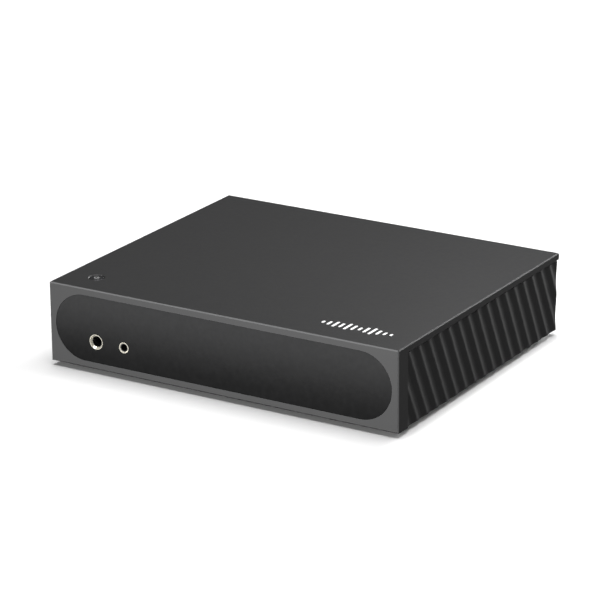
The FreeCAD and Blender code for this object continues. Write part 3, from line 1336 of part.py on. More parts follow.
def fuse_drawer():
    """The drawer that slides out under the socket, and the fuse that lies in it."""
    back = f"({INLET_FACE} - drawer_depth + drawer_behind)"
    plate_y = f"({INLET_FACE} + fit_gap)"
    half = "(drawer_width / 2 - fit_gap)"
    base = "(drawer_low + fit_gap)"
    tray = box("drawer_tray", (f"inlet_x - {half}", back, base),
               (f"2 * {half}", f"{plate_y} - {back} + drawer_root", "drawer_height - 2 * fit_gap"))
    plate_low = ("inlet_x - drawer_width / 2 - drawer_lip", plate_y, "drawer_low - drawer_lip")
    plate = box("drawer_plate", plate_low,
                ("drawer_width + 2 * drawer_lip", "drawer_face", "drawer_height + 2 * drawer_lip"))
    well_low = ("inlet_x - fuse_radius - fuse_gap", f"{FUSE_START} - fuse_gap", f"{base} + drawer_floor")
    well = box("drawer_well", well_low,
               ("2 * (fuse_radius + fuse_gap)", "fuse_length + 2 * fuse_gap", "drawer_height"))
    grip_low = ("inlet_x - grip_width / 2", f"{plate_y} + drawer_root", "drawer_low - drawer_lip")
    grip = box("drawer_grip", grip_low, ("grip_width", "drawer_face - drawer_root", "grip_height"))
    keep(cut("fuse_drawer", fuse("drawer_solid", tray, plate), well, grip), "fuse_drawer")
    glass_fuse(f"({base} + drawer_floor + fuse_radius + fuse_lift)")


def glass_fuse(middle):
    """A glass tube between two metal caps, with its axis at that height."""
    glass = cylinder("fuse_tube", ("inlet_x", FUSE_START, middle), "fuse_glass", "fuse_length")
    caps = [cylinder(f"fuse_cap_{i}", ("inlet_x", f"{FUSE_START} + {shift}", middle),
                     "fuse_radius", "fuse_cap")
            for i, shift in enumerate(("0", "fuse_length - fuse_cap"))]
    keep(fuse("fuse", glass, *caps), "fuse")


# --- wires -------------------------------------------------------------------------------

SUPPLY_WIRES = 4


def bent_path(points, radius):
    """Straight runs between the points, joined by tangent arcs of one radius."""
    edges = []
    start = points[0]
    for before, corner, after in zip(points, points[1:], points[2:]):
        inward = (before - corner).normalize()
        onward = (after - corner).normalize()
        half = inward.getAngle(onward) / 2
        enter = corner + inward * (radius / math.tan(half))
        leave = corner + onward * (radius / math.tan(half))
        middle = corner + (inward + onward).normalize() * (radius / math.sin(half) - radius)
        edges.append(Part.LineSegment(start, enter).toShape())
        edges.append(Part.Arc(enter, middle, leave).toShape())
        start = leave
    edges.append(Part.LineSegment(start, points[-1]).toShape())
    return Part.Wire(edges)


def wire(points, radius, bend):
    """A round wire along a bent path."""
    ring = Part.Wire(Part.Circle(points[0], points[1] - points[0], radius).toShape())
    return bent_path(points, bend).makePipeShell([ring], True, False)


def wires():
    """The mains wires, the low-voltage wires and the display ribbon."""
    tail = f"{INLET_BACK} - blade_tail"
    runs = []
    for x, z in BLADES:
        across, level = f"inlet_x + {x}", f"inlet_mouth_z + {z}"
        route = [point(across, tail, level), point(across, "mains_drop_y", level),
                 point(across, "mains_drop_y", BOARD_TOP)]
        runs.append(wire(route, number("mains_wire"), number("mains_bend")))
    group("mains_wires", runs)
    hops = []
    ends = ("supply_left + supply_wire_in", "main_right - 2 * supply_wire_in")
    for step in range(SUPPLY_WIRES):
        y = f"supply_wire_y + {step} * supply_wire_gap"
        route = [point(ends[0], y, BOARD_TOP), point(ends[0], y, "supply_wire_top"),
                 point(ends[1], y, "supply_wire_top"), point(ends[1], y, BOARD_TOP)]
        hops.append(wire(route, number("supply_wire"), number("supply_bend")))
    group("supply_wires", hops)
    display_ribbon()


def display_ribbon():
    """The flat cable from the display's board down to the main board."""
    start = f"{DISPLAY_BACK} + board_thick"
    stops = [(start, "ribbon_high"), (f"{start} + ribbon_width", "ribbon_high"),
             (f"{start} + ribbon_width", "ribbon_low"), ("main_front + ribbon_in", "ribbon_low"),
             ("main_front + ribbon_in", BOARD_TOP)]
    route = [point("display_x", y, z) for y, z in stops]
    half, thin = number("ribbon_width / 2"), number("ribbon_thick / 2")
    corners = [(-half, -thin), (half, -thin), (half, thin), (-half, thin), (-half, -thin)]
    section = Part.makePolygon([route[0] + V(x, 0, z) for x, z in corners])
    path = bent_path(route, number("ribbon_bend"))
    group("display_ribbon", [path.makePipeShell([section], True, False)])


# --- assembly, checks and files ----------------------------------------------------------

def build():
    """Every sub-part, from the case inwards."""
    cover_shell()
    front_window()
    side_panel_left(side_panel_right())
    bottom_plate()
    rear_panel()
    for front, y in (("front", "foot_front"), ("rear", "foot_rear")):
        foot(f"foot_{front}_left", "-foot_x", y)
        foot(f"foot_{front}_right", "foot_x", y)
    for size in ("large", "small"):
        ring = [f"{word}_{size}" for word in ("ring", "bore", "dish")]
        socket_ring(f"jack_ring_{size}", f"jack_{size}_x", *ring)
        headphone_jack(f"headphone_jack_{size}", f"jack_{size}_x", f"jack_width_{size}", *ring,
                       f"jack_bore_{size}")
    display()
    power_button()
    button_switch()
    button_board()
    circuit_board("main_board", "main", MAIN_SPOTS)
    circuit_board("power_supply_board", "supply", SUPPLY_SPOTS)
    circuit_board("headphone_board", "phones", PHONES_SPOTS)
    main_board_parts()
    supply_parts()
    standoffs()
    screws()
    xlr_output("xlr_output_left", "xlr_left_x")
    xlr_output("xlr_output_right", "xlr_right_x")
    xlr_contacts()
    phono_block("rca_output_block", "phono_left_x", ["phono_low_z", "phono_high_z"])
    phono_block("coax_input_block", "phono_coax_x", ["phono_low_z"])
    phono_barrels()
    optical_input()
    optical_shutter()
    steel_port("usb_b_port", "usb_b")
    steel_port("hdmi_port", "hdmi")
    steel_port("usb_a_port", "usb_a")
    port_tongues()
    ethernet_port()
    mains_inlet()
    mains_inlet_pins()
    fuse_drawer()
    wires()
    doc.recompute()


def check():
    """Stops if any object failed or any sub-part's shape is unusable."""
    for item in doc.Objects:
        if {"Invalid", "Error"} & set(item.State):
            raise RuntimeError(f"{item.Label} did not recompute: {item.State}")
    for item in nodes:
        if item.Shape.isNull() or not item.Shape.isValid() or not item.Shape.Solids:
            raise RuntimeError(f"{item.Label} has no usable shape")
        if any(solid.Volume <= 0 for solid in item.Shape.Solids):
            raise RuntimeError(f"{item.Label} has an inside-out solid")


def write():
    """One STEP file for each sub-part."""
    os.makedirs("parts", exist_ok=True)
    for item in nodes:
        item.Shape.exportStep(f"parts/{item.Label}.step")
    print(f"{len(nodes)} sub-parts written")


build()
check()
write()
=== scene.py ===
import math

import bmesh
import bpy
from mathutils import Matrix, Vector


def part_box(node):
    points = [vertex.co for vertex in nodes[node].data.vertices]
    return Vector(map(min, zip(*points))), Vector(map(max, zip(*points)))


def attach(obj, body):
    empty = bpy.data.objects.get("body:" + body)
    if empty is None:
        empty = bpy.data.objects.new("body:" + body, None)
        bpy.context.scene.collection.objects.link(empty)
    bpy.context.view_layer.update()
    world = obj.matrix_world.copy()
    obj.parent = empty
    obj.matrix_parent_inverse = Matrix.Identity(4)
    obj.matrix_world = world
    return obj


# The finished look of the desktop converter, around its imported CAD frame. Metres: +X is the
# right-hand side seen from the front, +Y goes to the back, +Z is up.

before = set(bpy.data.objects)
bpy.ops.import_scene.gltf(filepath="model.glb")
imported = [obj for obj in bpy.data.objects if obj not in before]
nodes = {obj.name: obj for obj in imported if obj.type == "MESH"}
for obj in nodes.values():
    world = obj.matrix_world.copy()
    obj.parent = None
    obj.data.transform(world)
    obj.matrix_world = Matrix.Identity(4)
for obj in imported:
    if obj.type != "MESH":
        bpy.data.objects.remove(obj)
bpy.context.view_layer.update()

MM = 0.001


# --- shader building blocks --------------------------------------------------------------

def put(tree, kind, inputs, **settings):
    """A node with its settings, and its inputs set or linked by name."""
    made = tree.nodes.new(kind)
    for name, value in settings.items():
        setattr(made, name, value)
    for name, value in inputs.items():
        feed(tree, made.inputs[name], value)
    return made


def feed(tree, socket, value):
    """Links an output to an input, or sets the input's own value."""
    if isinstance(value, bpy.types.NodeSocket):
        tree.links.new(value, socket)
    elif socket.type == "RGBA" and len(value) == 3:
        socket.default_value = (*value, 1)
    else:
        socket.default_value = value


def object_place(tree):
    """The point on the piece, in metres, which rides with it."""
    return put(tree, "ShaderNodeTexCoord", {}).outputs["Object"]


NOISE_ROUGHNESS = 0.55


def noise(tree, size, detail=2.0):
    """Noise whose features are about that many metres across."""
    made = put(tree, "ShaderNodeTexNoise", {"Vector": object_place(tree), "Scale": 1 / size,
                                            "Detail": detail, "Roughness": NOISE_ROUGHNESS})
    return made.outputs["Fac"]


def spread(tree, value, low, high, start=0.3, stop=0.7):
    """A value from start to stop, spread over low to high."""
    made = put(tree, "ShaderNodeMapRange", {"Value": value, "From Min": start, "From Max": stop,
                                            "To Min": low, "To Max": high})
    return made.outputs[0]


def combine(tree, operation, first, second):
    """Two values multiplied, or the larger or smaller of them."""
    made = put(tree, "ShaderNodeMath", {}, operation=operation)
    feed(tree, made.inputs[0], first)
    feed(tree, made.inputs[1], second)
    return made.outputs[0]


def times(tree, first, second):
    """Two values multiplied."""
    return combine(tree, "MULTIPLY", first, second)


def tint(tree, share, first, second, blend="MIX"):
    """Two colours mixed by a share from 0 to 1."""
    made = tree.nodes.new("ShaderNodeMix")
    made.data_type = "RGBA"
    made.blend_type = blend
    feed(tree, made.inputs["Factor"], share)
    feed(tree, made.inputs["A"], first)
    feed(tree, made.inputs["B"], second)
    return made.outputs["Result"]


def scaled(colour, factor):
    """A colour made darker or lighter."""
    return tuple(min(1.0, part * factor) for part in colour)


def along(tree, axis, start, stop):
    """A value that goes smoothly from 0 to 1 between two places along an axis."""
    split = put(tree, "ShaderNodeSeparateXYZ", {"Vector": object_place(tree)})
    made = put(tree, "ShaderNodeMapRange",
               {"Value": split.outputs[axis], "From Min": start, "From Max": stop},
               interpolation_type="SMOOTHSTEP")
    return made.outputs[0]


def recolour(material, share, first, second):
    """Multiplies a finish's colour by two tints, mixed by a share."""
    tree = material.node_tree
    socket = tree.nodes["Principled BSDF"].inputs["Base Color"]
    tone = socket.links[0].from_socket
    feed(tree, socket, tint(tree, 1.0, tone, tint(tree, share, first, second), "MULTIPLY"))


def edge_mask(tree, radius, start=0.004, stop=0.10):
    """1 on the sharp outer edges, 0 on flats: the true normal against the rounded one."""
    rounded = put(tree, "ShaderNodeBevel", {"Radius": radius}, samples=6)
    true = put(tree, "ShaderNodeNewGeometry", {})
    dot = put(tree, "ShaderNodeVectorMath", {}, operation="DOT_PRODUCT")
    feed(tree, dot.inputs[0], rounded.outputs[0])
    feed(tree, dot.inputs[1], true.outputs["True Normal"])
    return spread(tree, dot.outputs["Value"], 1, 0, 1 - stop, 1 - start)


# A normal's largest component on a bevel and on a flat, and its smallest one on a bevel and on a
# corner.
BEVEL_LARGEST, FLAT_LARGEST = 0.8, 0.95
BEVEL_SMALLEST, CORNER_SMALLEST = 0.02, 0.08


def bevel_mask(tree):
    """1 on the narrow bevels along straight edges, which face between two axes."""
    size = put(tree, "ShaderNodeVectorMath", {}, operation="ABSOLUTE")
    feed(tree, size.inputs[0], put(tree, "ShaderNodeNewGeometry", {}).outputs["True Normal"])
    x, y, z = put(tree, "ShaderNodeSeparateXYZ", {"Vector": size.outputs[0]}).outputs
    largest = combine(tree, "MAXIMUM", combine(tree, "MAXIMUM", x, y), z)
    smallest = combine(tree, "MINIMUM", combine(tree, "MINIMUM", x, y), z)
    leaning = spread(tree, largest, 1, 0, BEVEL_LARGEST, FLAT_LARGEST)
    straight = spread(tree, smallest, 1, 0, BEVEL_SMALLEST, CORNER_SMALLEST)
    return times(tree, leaning, straight)


FACING_START, FACING_FULL = 0.3, 0.6


def facing(tree, axis, sign):
    """1 where the surface faces along an axis, forwards or backwards by the sign."""
    normal = put(tree, "ShaderNodeNewGeometry", {}).outputs["True Normal"]
    part = put(tree, "ShaderNodeSeparateXYZ", {"Vector": normal}).outputs[axis]
    return spread(tree, times(tree, part, sign), 0, 1, FACING_START, FACING_FULL)


# How pale the painted highlight on side bevels is against that on front ones, the black painted shade on
# bevels underneath, and how rough side bevels are.
SIDE_BEVEL_HIGHLIGHT = 0.8
UNDERSIDE_BEVEL_SHADE = (0.004, 0.004, 0.004)
SIDE_ROUGHNESS = 0.9


def bevel_painted_light(tree, tone, gloss, highlight_tone):
    """Painted highlight on bevels, paler in front and a little less so and dull along the sides, and black
    painted shade underneath.
    """
    mask = bevel_mask(tree)
    ahead = facing(tree, "Y", -1)
    shade = tint(tree, ahead, scaled(highlight_tone, SIDE_BEVEL_HIGHLIGHT), highlight_tone)
    shade = tint(tree, facing(tree, "Z", -1), shade, UNDERSIDE_BEVEL_SHADE)
    dull = times(tree, mask, spread(tree, ahead, 1, 0, 0, 1))
    return tint(tree, mask, tone, shade), spread(tree, dull, gloss, SIDE_ROUGHNESS, 0, 1)


# How far a finish's flecks mix in and how much lighter they are, the patches of gloss against those
# of tone, and the patches in which edges wear.
FLECK_SHARE = 0.35
FLECK_TONE = 1.25
GLOSS_PATCH = 0.35
WEAR_PATCH = 1.2 * MM


def surface(name, colour, metallic=0.0, rough=0.5, vary=0.06, mottle=(0.9, 1.1), patch=9 * MM,
            grain=0.25 * MM, relief=3e-6, worn=None, wear_radius=0.35 * MM, wear=0.5, rub=0.25,
            bevel=None, settings=None):
    """A finish: patches of tone and gloss, a fine grain in relief, worn edges, and bevels with a painted
    highlight and painted shade.
    """
    made = bpy.data.materials.new(name)
    made.use_nodes = True
    tree = made.node_tree
    shader = tree.nodes["Principled BSDF"]
    cloud = noise(tree, patch, 3)
    fine = noise(tree, grain)
    darker, lighter = mottle
    tone = tint(tree, spread(tree, cloud, 0, 1), scaled(colour, darker), scaled(colour, lighter))
    tone = tint(tree, spread(tree, fine, 0, FLECK_SHARE), tone, scaled(colour, lighter * FLECK_TONE))
    gloss = spread(tree, noise(tree, patch * GLOSS_PATCH, 4), rough - vary, rough + vary)
    if worn is not None:
        mask = times(tree, edge_mask(tree, wear_radius), spread(tree, noise(tree, WEAR_PATCH, 4), rub, 1))
        tone = tint(tree, times(tree, mask, wear), tone, worn)
    if bevel is not None:
        # Painted light: bevels paler where they face front or sideways, black where they face down.
        tone, gloss = bevel_painted_light(tree, tone, gloss, bevel)
    feed(tree, shader.inputs["Base Color"], tone)
    feed(tree, shader.inputs["Roughness"], gloss)
    shader.inputs["Metallic"].default_value = metallic
    for key, value in (settings or {}).items():
        shader.inputs[key].default_value = value
    bump = put(tree, "ShaderNodeBump", {"Height": fine, "Distance": relief, "Strength": 1.0})
    feed(tree, shader.inputs["Normal"], bump.outputs[0])
    return made


# --- the finishes ------------------------------------------------------------------------

def make_finishes():
    """One finish for each material slot: its colour, how metallic and how rough it is, and the rest."""
    black = (0.022, 0.022, 0.023)
    return {
        # The cover's bevel colour is a painted highlight on its chamfers.
        "cover_aluminium": surface("blasted_cover", (0.030, 0.030, 0.0304), 0.25, 0.46, 0.015,
                                   mottle=(0.97, 1.03), relief=3e-6, worn=(0.09, 0.09, 0.092), wear=0.6,
                                   rub=0.6, bevel=(0.115, 0.115, 0.117),
                                   settings={"Specular IOR Level": 0.4}),
        "rib_aluminium": surface("blasted_ribs", (0.030, 0.030, 0.0304), 0.25, 0.46, 0.04,
                                 mottle=(0.97, 1.03), relief=2e-6),
        "smoked_window": surface("smoked_acrylic", (0.013, 0.013, 0.0132), 0, 0.16, 0.02,
                                 mottle=(0.98, 1.02), relief=1e-7, grain=2 * MM),
        "plate_steel": surface("powder_coat", black, 0, 0.55, 0.06, grain=0.5 * MM, relief=12e-6),
        "rear_aluminium": surface("rear_anodised", (0.045, 0.045, 0.047), 0.6, 0.42, 0.02,
                                  mottle=(0.97, 1.03), worn=(0.3, 0.3, 0.3), wear=0.4),
        "foot_rubber": surface("rubber", (0.018, 0.018, 0.018), 0, 0.75, 0.08, relief=8e-6),
        "gold_plate": surface("gold_plate", (0.94, 0.89, 0.74), 0.72, 0.26, 0.04, relief=3e-7,
                              mottle=(0.97, 1.03)),
        "socket_plastic": surface("socket_plastic", black, 0, 0.42, 0.06, relief=3e-6),
        "display_glass": surface("display_glass", (0.006, 0.006, 0.007), 0, 0.12, 0.03, relief=1e-7),
        "button_aluminium": surface("turned_button", (0.075, 0.075, 0.078), 0.85, 0.36, 0.04,
                                    worn=(0.14, 0.14, 0.14), wear=0.5, wear_radius=0.2 * MM),
        "plunger_plastic": surface("plunger_plastic", (0.45, 0.05, 0.04), 0, 0.4),
        "circuit_board": surface("solder_mask", (0.012, 0.07, 0.035), 0, 0.35, 0.08, patch=3 * MM),
        "chip_plastic": surface("chip_epoxy", (0.015, 0.015, 0.015), 0, 0.5, relief=2e-6),
        "tinned_steel": surface("tinned_steel", (0.34, 0.34, 0.33), 1, 0.34, 0.04, relief=4e-7,
                                mottle=(0.95, 1.05), worn=(0.5, 0.5, 0.49), wear=0.4,
                                wear_radius=0.12 * MM),
        "relay_plastic": surface("relay_plastic", (0.7, 0.66, 0.55), 0, 0.35),
        "capacitor_can": surface("capacitor_sleeve", (0.03, 0.03, 0.07), 0, 0.3),
        "ferrite": surface("ferrite", (0.06, 0.06, 0.062), 0.2, 0.6, relief=8e-6),
        "brass_pillar": surface("nickelled_brass", (0.7, 0.62, 0.42), 1, 0.3),
        "zinc_screw": surface("zinc_screw", (0.6, 0.6, 0.6), 1, 0.32, 0.08),
        "black_screw": surface("black_screw", (0.05, 0.05, 0.05), 0.8, 0.35, 0.06,
                               worn=(0.35, 0.35, 0.35), wear=0.5, wear_radius=0.12 * MM),
        "socket_metal": surface("die_cast", (0.035, 0.035, 0.037), 0.5, 0.42, 0.06,
                                relief=5e-6, worn=(0.25, 0.25, 0.25), wear=0.4),
        "insulator_plastic": surface("insulator", (0.72, 0.71, 0.67), 0, 0.32),
        "shutter_plastic": surface("shutter_plastic", (0.03, 0.03, 0.03), 0, 0.45, relief=3e-6),
        "tongue_plastic": surface("tongue_plastic", (0.02, 0.02, 0.02), 0, 0.45),
        "inlet_plastic": surface("inlet_plastic", black, 0, 0.5, 0.06, grain=0.35 * MM, relief=8e-6),
        "blade_metal": surface("nickel_blade", (0.68, 0.66, 0.6), 1, 0.25, 0.06),
        "fuse_glass": surface("fuse_glass", (0.75, 0.77, 0.77), 0, 0.1),
        "wire_insulation": surface("wire_insulation", (0.1, 0.03, 0.03), 0, 0.45),
        "ribbon_plastic": surface("ribbon_plastic", (0.75, 0.75, 0.72), 0, 0.4),
    }


# Tints by which a finish's own colour is multiplied.
# The window's two tints are a painted reflection: darker at its foot, paler at its head.
WINDOW_DARK_REFLECTION = (0.52, 0.52, 0.52)
WINDOW_PALE_REFLECTION = (2.2, 2.2, 2.2)
PHONO_WHITE = (1, 1, 1)
PHONO_RED = (0.9, 0.05, 0.04)
PHONO_ORANGE = (0.95, 0.3, 0.03)


def tint_by_place(finishes):
    """The window is paler towards its top, a painted reflection; the phono sockets' rings are white, red
    and orange.
    """
    low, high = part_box("front_window")
    window = finishes["smoked_window"]
    # Painted reflection: the window darker at its foot and paler at its head.
    recolour(window, along(window.node_tree, "Z", low.z, high.z), WINDOW_DARK_REFLECTION, WINDOW_PALE_REFLECTION)
    low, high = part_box("rca_insulators")
    ring = finishes["insulator_plastic"]
    tree = ring.node_tree
    middle = (low + high) / 2
    lower = tint(tree, along(tree, "X", middle.x - MM, middle.x + MM), PHONO_RED, PHONO_ORANGE)
    recolour(ring, along(tree, "Z", middle.z - MM, middle.z + MM), lower, PHONO_WHITE)
    return finishes


def ink(name, shade):
    """A thin matt print of a grey shade."""
    return surface(name, (shade, shade, shade), 0, 0.5, relief=1e-6, mottle=(0.97, 1.03))


def dress(finishes):
    """Gives every CAD node the finish of its own slot."""
    for piece in nodes.values():
        for slot in piece.material_slots:
            slot.material = finishes[slot.material.name.split(".")[0]]


# --- small pieces on the case and in the sockets, in millimetres --------------------------

def middle_of(node):
    """The middle of a node's box."""
    low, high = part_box(node)
    return (low + high) / 2 / MM


def add_piece(name, mesh, body, finish):
    """One object from a finished mesh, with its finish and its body."""
    data = bpy.data.meshes.new(name)
    mesh.to_mesh(data)
    mesh.free()
    made = bpy.data.objects.new(name, data)
    bpy.context.scene.collection.objects.link(made)
    data.materials.append(finish)
    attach(made, body)


def prism(mesh, outline, low, high, upright):
    """A flat outline given a thickness along Z, or along X where it lies in Y and Z."""
    def place(u, v, w):
        return (u * MM, v * MM, w * MM) if upright else (w * MM, u * MM, v * MM)

    base = [mesh.verts.new(place(u, v, low)) for u, v in outline]
    lid = [mesh.verts.new(place(u, v, high)) for u, v in outline]
    mesh.faces.new(base[::-1])
    mesh.faces.new(lid)
    for step in range(len(outline)):
        after = (step + 1) % len(outline)
        mesh.faces.new((base[step], base[after], lid[after], lid[step]))


def prisms_piece(name, prisms, body, finish):
    """One object made of prisms."""
    mesh = bmesh.new()
    for outline, low, high, upright in prisms:
        prism(mesh, outline, low, high, upright)
    add_piece(name, mesh, body, finish)


def arc(x, y, radius, start, stop, steps):
    """Points along an arc, in degrees."""
    turns = [math.radians(start + (stop - start) * step / steps) for step in range(steps + 1)]
    return [(x + radius * math.cos(turn), y + radius * math.sin(turn)) for turn in turns]


END_STEPS = 8


def capsule(x, y, length, width):
    """A bar along Y with round ends."""
    reach, radius = (length - width) / 2, width / 2
    return arc(x, y + reach, radius, 0, 180, END_STEPS) + arc(x, y - reach, radius, 180, 360, END_STEPS)


def rectangle(left, low, right, high):
    """A rectangle's four corners."""
    return [(left, low), (right, low), (right, high), (left, high)]


INK_THICK = 0.02
BAR_LENGTHS = (3.2, 5.4, 8.2, 6.2, 9.6, 7.2, 4.6, 7.8, 10.0, 6.6, 4.2, 2.8)
BAR_PITCH = 3.9
BAR_WIDTH = 1.6
BARS_FROM = 56.3
BARS_Y = -79.0


def top_print(print_ink):
    """A printed row of level bars in the front right corner of the cover."""
    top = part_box("cover_shell")[1].z / MM
    bars = [(capsule(BARS_FROM + step * BAR_PITCH, BARS_Y, length, BAR_WIDTH), top, top + INK_THICK, True)
            for step, length in enumerate(BAR_LENGTHS)]
    prisms_piece("top_print", bars, "case", print_ink)


# The ring's outer radius, the lines' width, the ring's gap in degrees, and the stroke's length and
# its place behind the button's middle.
MARK_RADIUS = 1.5
MARK_LINE = 0.4
MARK_GAP = 70
MARK_STEPS = 40
MARK_STROKE = 1.6
MARK_STROKE_Y = 1.0


def power_mark(print_ink):
    """The usual sign for power, on top of the button: a ring that is open at the back, and a stroke."""
    x, y, _ = middle_of("power_button")
    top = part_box("power_button")[1].z / MM
    start, stop = 90 + MARK_GAP / 2, 450 - MARK_GAP / 2
    ring = (arc(x, y, MARK_RADIUS, start, stop, MARK_STEPS)
            + arc(x, y, MARK_RADIUS - MARK_LINE, stop, start, MARK_STEPS))
    stroke = capsule(x, y + MARK_STROKE_Y, MARK_STROKE, MARK_LINE)
    prisms = [(ring, top, top + INK_THICK, True), (stroke, top, top + INK_THICK, True)]
    prisms_piece("power_mark", prisms, "power_button", print_ink)


SLEEVE_WALL = 0.06
SLEEVE_TURNS = 72
# For each ring: how deep the sleeve's lip lies and its radius, how deep the dish ends, the bore's
# radius, and how deep the sleeve ends.
SLEEVES = (
    ("jack_ring_large", 1.15, 3.31, 1.3, 3.2, 1.6),
    ("jack_ring_small", 0.35, 2.43, 0.5, 2.25, 0.8),
)


def socket_sleeves(plastic):
    """Black sleeves in the gold rings: each one's lip, the dish's foot, and the bore behind it."""
    for node, lip, lip_radius, foot, bore, end in SLEEVES:
        x, _, z = middle_of(node)
        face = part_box(node)[0].y / MM
        inner = bore - SLEEVE_WALL
        section = [(lip, lip_radius), (foot, bore), (end, bore), (end, inner), (lip, inner)]
        turned(node.replace("jack_ring", "jack_sleeve"), x, face, z, section, plastic)


def turned(name, x, face, z, section, finish):
    """A ring turned round an axis along Y, from a section of depths and radii."""
    mesh = bmesh.new()
    rings = []
    for step in range(SLEEVE_TURNS):
        turn = 2 * math.pi * step / SLEEVE_TURNS
        rings.append([mesh.verts.new(((x + radius * math.cos(turn)) * MM, (face + depth) * MM,
                                      (z + radius * math.sin(turn)) * MM)) for depth, radius in section])
    for step in range(SLEEVE_TURNS):
        here, there = rings[step], rings[(step + 1) % SLEEVE_TURNS]
        for corner in range(len(section)):
            after = (corner + 1) % len(section)
            mesh.faces.new((here[corner], there[corner], there[after], here[after]))
    bmesh.ops.recalc_face_normals(mesh, faces=mesh.faces)
    add_piece(name, mesh, "case", finish)


def pads(middle, offsets, width, back, front, low, high):
    """Flat contacts side by side on a tongue."""
    return [(rectangle(middle + offset - width / 2, back, middle + offset + width / 2, front),
             low, high, True) for offset in offsets]


def evenly(count, pitch):
    """Places in an even row about its own middle."""
    return [(step - (count - 1) / 2) * pitch for step in range(count)]


# Each row of flat contacts: its piece, its socket, the places across the socket, the contacts'
# width, and the heights of their two faces.
FLAT_CONTACTS = (
    ("usb_contacts", "usb_a_port", (-3.5, -1.0, 1.0, 3.5), 1.2, 16.4, 16.5),
    ("usb_contacts", "usb_b_port", (-1.25, 1.25), 1.1, 18.7, 18.8),
    ("usb_contacts", "usb_b_port", (-1.25, 1.25), 1.1, 15.6, 15.7),
    ("i2s_contacts", "hdmi_port", evenly(10, 1.0), 0.45, 16.5, 16.55),
    ("i2s_contacts", "hdmi_port", evenly(9, 1.0), 0.45, 14.85, 14.9),
)
# How far the contacts stop short of a tongue's root and of its tip.
TONGUE_ROOT = 0.5
TONGUE_TIP = 0.4
# The bent spring wire of a network socket, seen from the side: Y and Z of its corners.
SPRING_WIRE = ((80, 23.9), (88.2, 23.9), (88.5, 23.7), (83.2, 20.6), (83.0, 20.8), (87.6, 23.6), (80, 23.6))
SPRING_WIDTH = 0.44
SPRING_COUNT = 8
SPRING_PITCH = 1.02


def socket_contacts(gold):
    """The gold contacts of the USB, I2S and network sockets."""
    low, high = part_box("port_tongues")
    back, front = low.y / MM + TONGUE_ROOT, high.y / MM - TONGUE_TIP
    for name in ("usb_contacts", "i2s_contacts"):
        rows = [pads(middle_of(node).x, places, width, back, front, under, over)
                for owner, node, places, width, under, over in FLAT_CONTACTS if owner == name]
        prisms_piece(name, sum(rows, []), "case", gold)
    middle, half = middle_of("ethernet_port").x, SPRING_WIDTH / 2
    springs = [(SPRING_WIRE, middle + place - half, middle + place + half, False)
               for place in evenly(SPRING_COUNT, SPRING_PITCH)]
    prisms_piece("network_contacts", springs, "case", gold)


# --- the stage ---------------------------------------------------------------------------

CAMERA_AT = Vector((0.85649, -1.41870, 0.61170))
AZIMUTH = math.radians(31.322)
ELEVATION = math.radians(19.348)
ROLL = math.radians(-0.455)
LENS = 180.594
SENSOR = 36.0
NEAREST, FURTHEST = 0.05, 30


def camera():
    """The camera, at the height and turn from which the object is seen."""
    data = bpy.data.cameras.new("camera")
    data.sensor_width = SENSOR
    data.lens = LENS
    data.clip_start = NEAREST
    data.clip_end = FURTHEST
    made = bpy.data.objects.new("camera", data)
    flat = math.cos(ELEVATION)
    back = Vector((math.sin(AZIMUTH) * flat, -math.cos(AZIMUTH) * flat, math.sin(ELEVATION)))
    level = back.cross(Vector((0, 0, 1))).normalized() * -1
    upward = back.cross(level)
    across = math.cos(ROLL) * level + math.sin(ROLL) * upward
    upward = math.cos(ROLL) * upward - math.sin(ROLL) * level
    turn = Matrix((across, upward, back)).transposed()
    made.matrix_world = Matrix.Translation(CAMERA_AT) @ turn.to_4x4()
    bpy.context.scene.collection.objects.link(made)
    bpy.context.scene.camera = made


FLOOR_REACH = 6.0


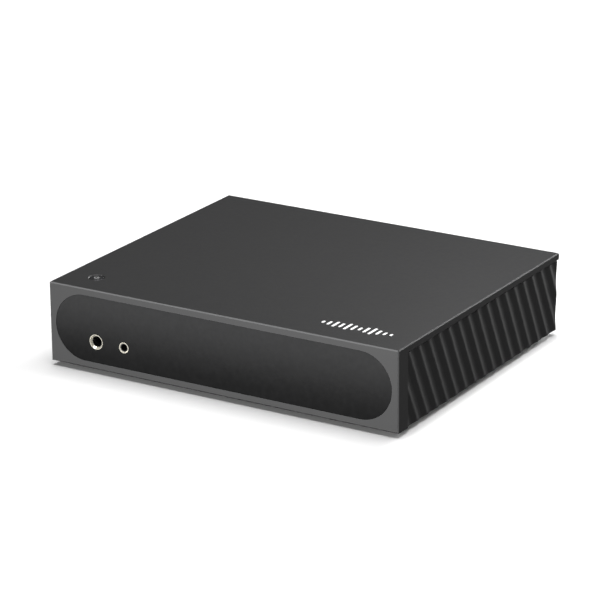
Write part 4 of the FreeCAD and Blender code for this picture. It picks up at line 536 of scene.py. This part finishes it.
def floor():
    """A plain pale floor that fills the background and throws no light back at the object."""
    data = bpy.data.meshes.new("floor")
    corners = [(x, y, 0) for x, y in rectangle(-FLOOR_REACH, -FLOOR_REACH, FLOOR_REACH, FLOOR_REACH)]
    data.from_pydata(corners, [], [(0, 1, 2, 3)])
    made = bpy.data.objects.new("floor", data)
    bpy.context.scene.collection.objects.link(made)
    data.materials.append(surface("floor_paper", (0.85, 0.85, 0.85), 0, 0.9, mottle=(1, 1), patch=0.4,
                                  relief=0, settings={"Specular IOR Level": 0.0}))
    made.visible_diffuse = False
    made.visible_glossy = False


def softbox(name, at, aim, size, power):
    """A rectangular light that faces a point."""
    data = bpy.data.lights.new(name, "AREA")
    data.shape = "RECTANGLE"
    data.size, data.size_y = size
    data.energy = power
    made = bpy.data.objects.new(name, data)
    made.location = at
    made.rotation_mode = "QUATERNION"
    made.rotation_quaternion = (Vector(aim) - Vector(at)).to_track_quat("-Z", "Y")
    made.visible_camera = False
    bpy.context.scene.collection.objects.link(made)


# Each light's name, where it stands, the point that it faces, its size, and its power in watts.
SOFTBOXES = (
    ("overhead", (0, 0, 6.0), (0, 0, 0), (4.2, 4.2), 395),
    ("front", (-0.7, -2.3, 0.035), (0, 0, 0.035), (0.8, 0.066), 80),
    ("high", (-0.5, -2.4, 0.95), (0, 0, 0), (1.2, 0.5), 19),
    ("right", (3.0, 0.4, 0.4), (0, 0, 0.03), (1.2, 0.8), 19),
    ("strip", (0.10, 0.05, 0.25), (0.10, 0.05, 0), (0.02, 0.16), 0.33),
    ("back", (0.27, 1.9, 0.3), (0, 0, 0.03), (0.5, 0.4), 60),
)
ROOM_LIGHT = 0.05


def lights():
    """Softboxes above and on three sides, a small strip over the right edge, and a dark room."""
    for box in SOFTBOXES:
        softbox(*box)
    world = bpy.data.worlds.new("room")
    bpy.context.scene.world = world
    world.use_nodes = True
    room = world.node_tree.nodes["Background"].inputs
    room["Color"].default_value = (1, 1, 1, 1)
    room["Strength"].default_value = ROOM_LIGHT
    bpy.context.scene.view_settings.view_transform = "Standard"


# --- the scene ---------------------------------------------------------------------------

camera()
floor()
lights()
finishes = tint_by_place(make_finishes())
dress(finishes)
top_print(ink("white_ink", 0.78))
power_mark(ink("grey_ink", 0.42))
socket_sleeves(finishes["socket_plastic"])
socket_contacts(finishes["gold_plate"])
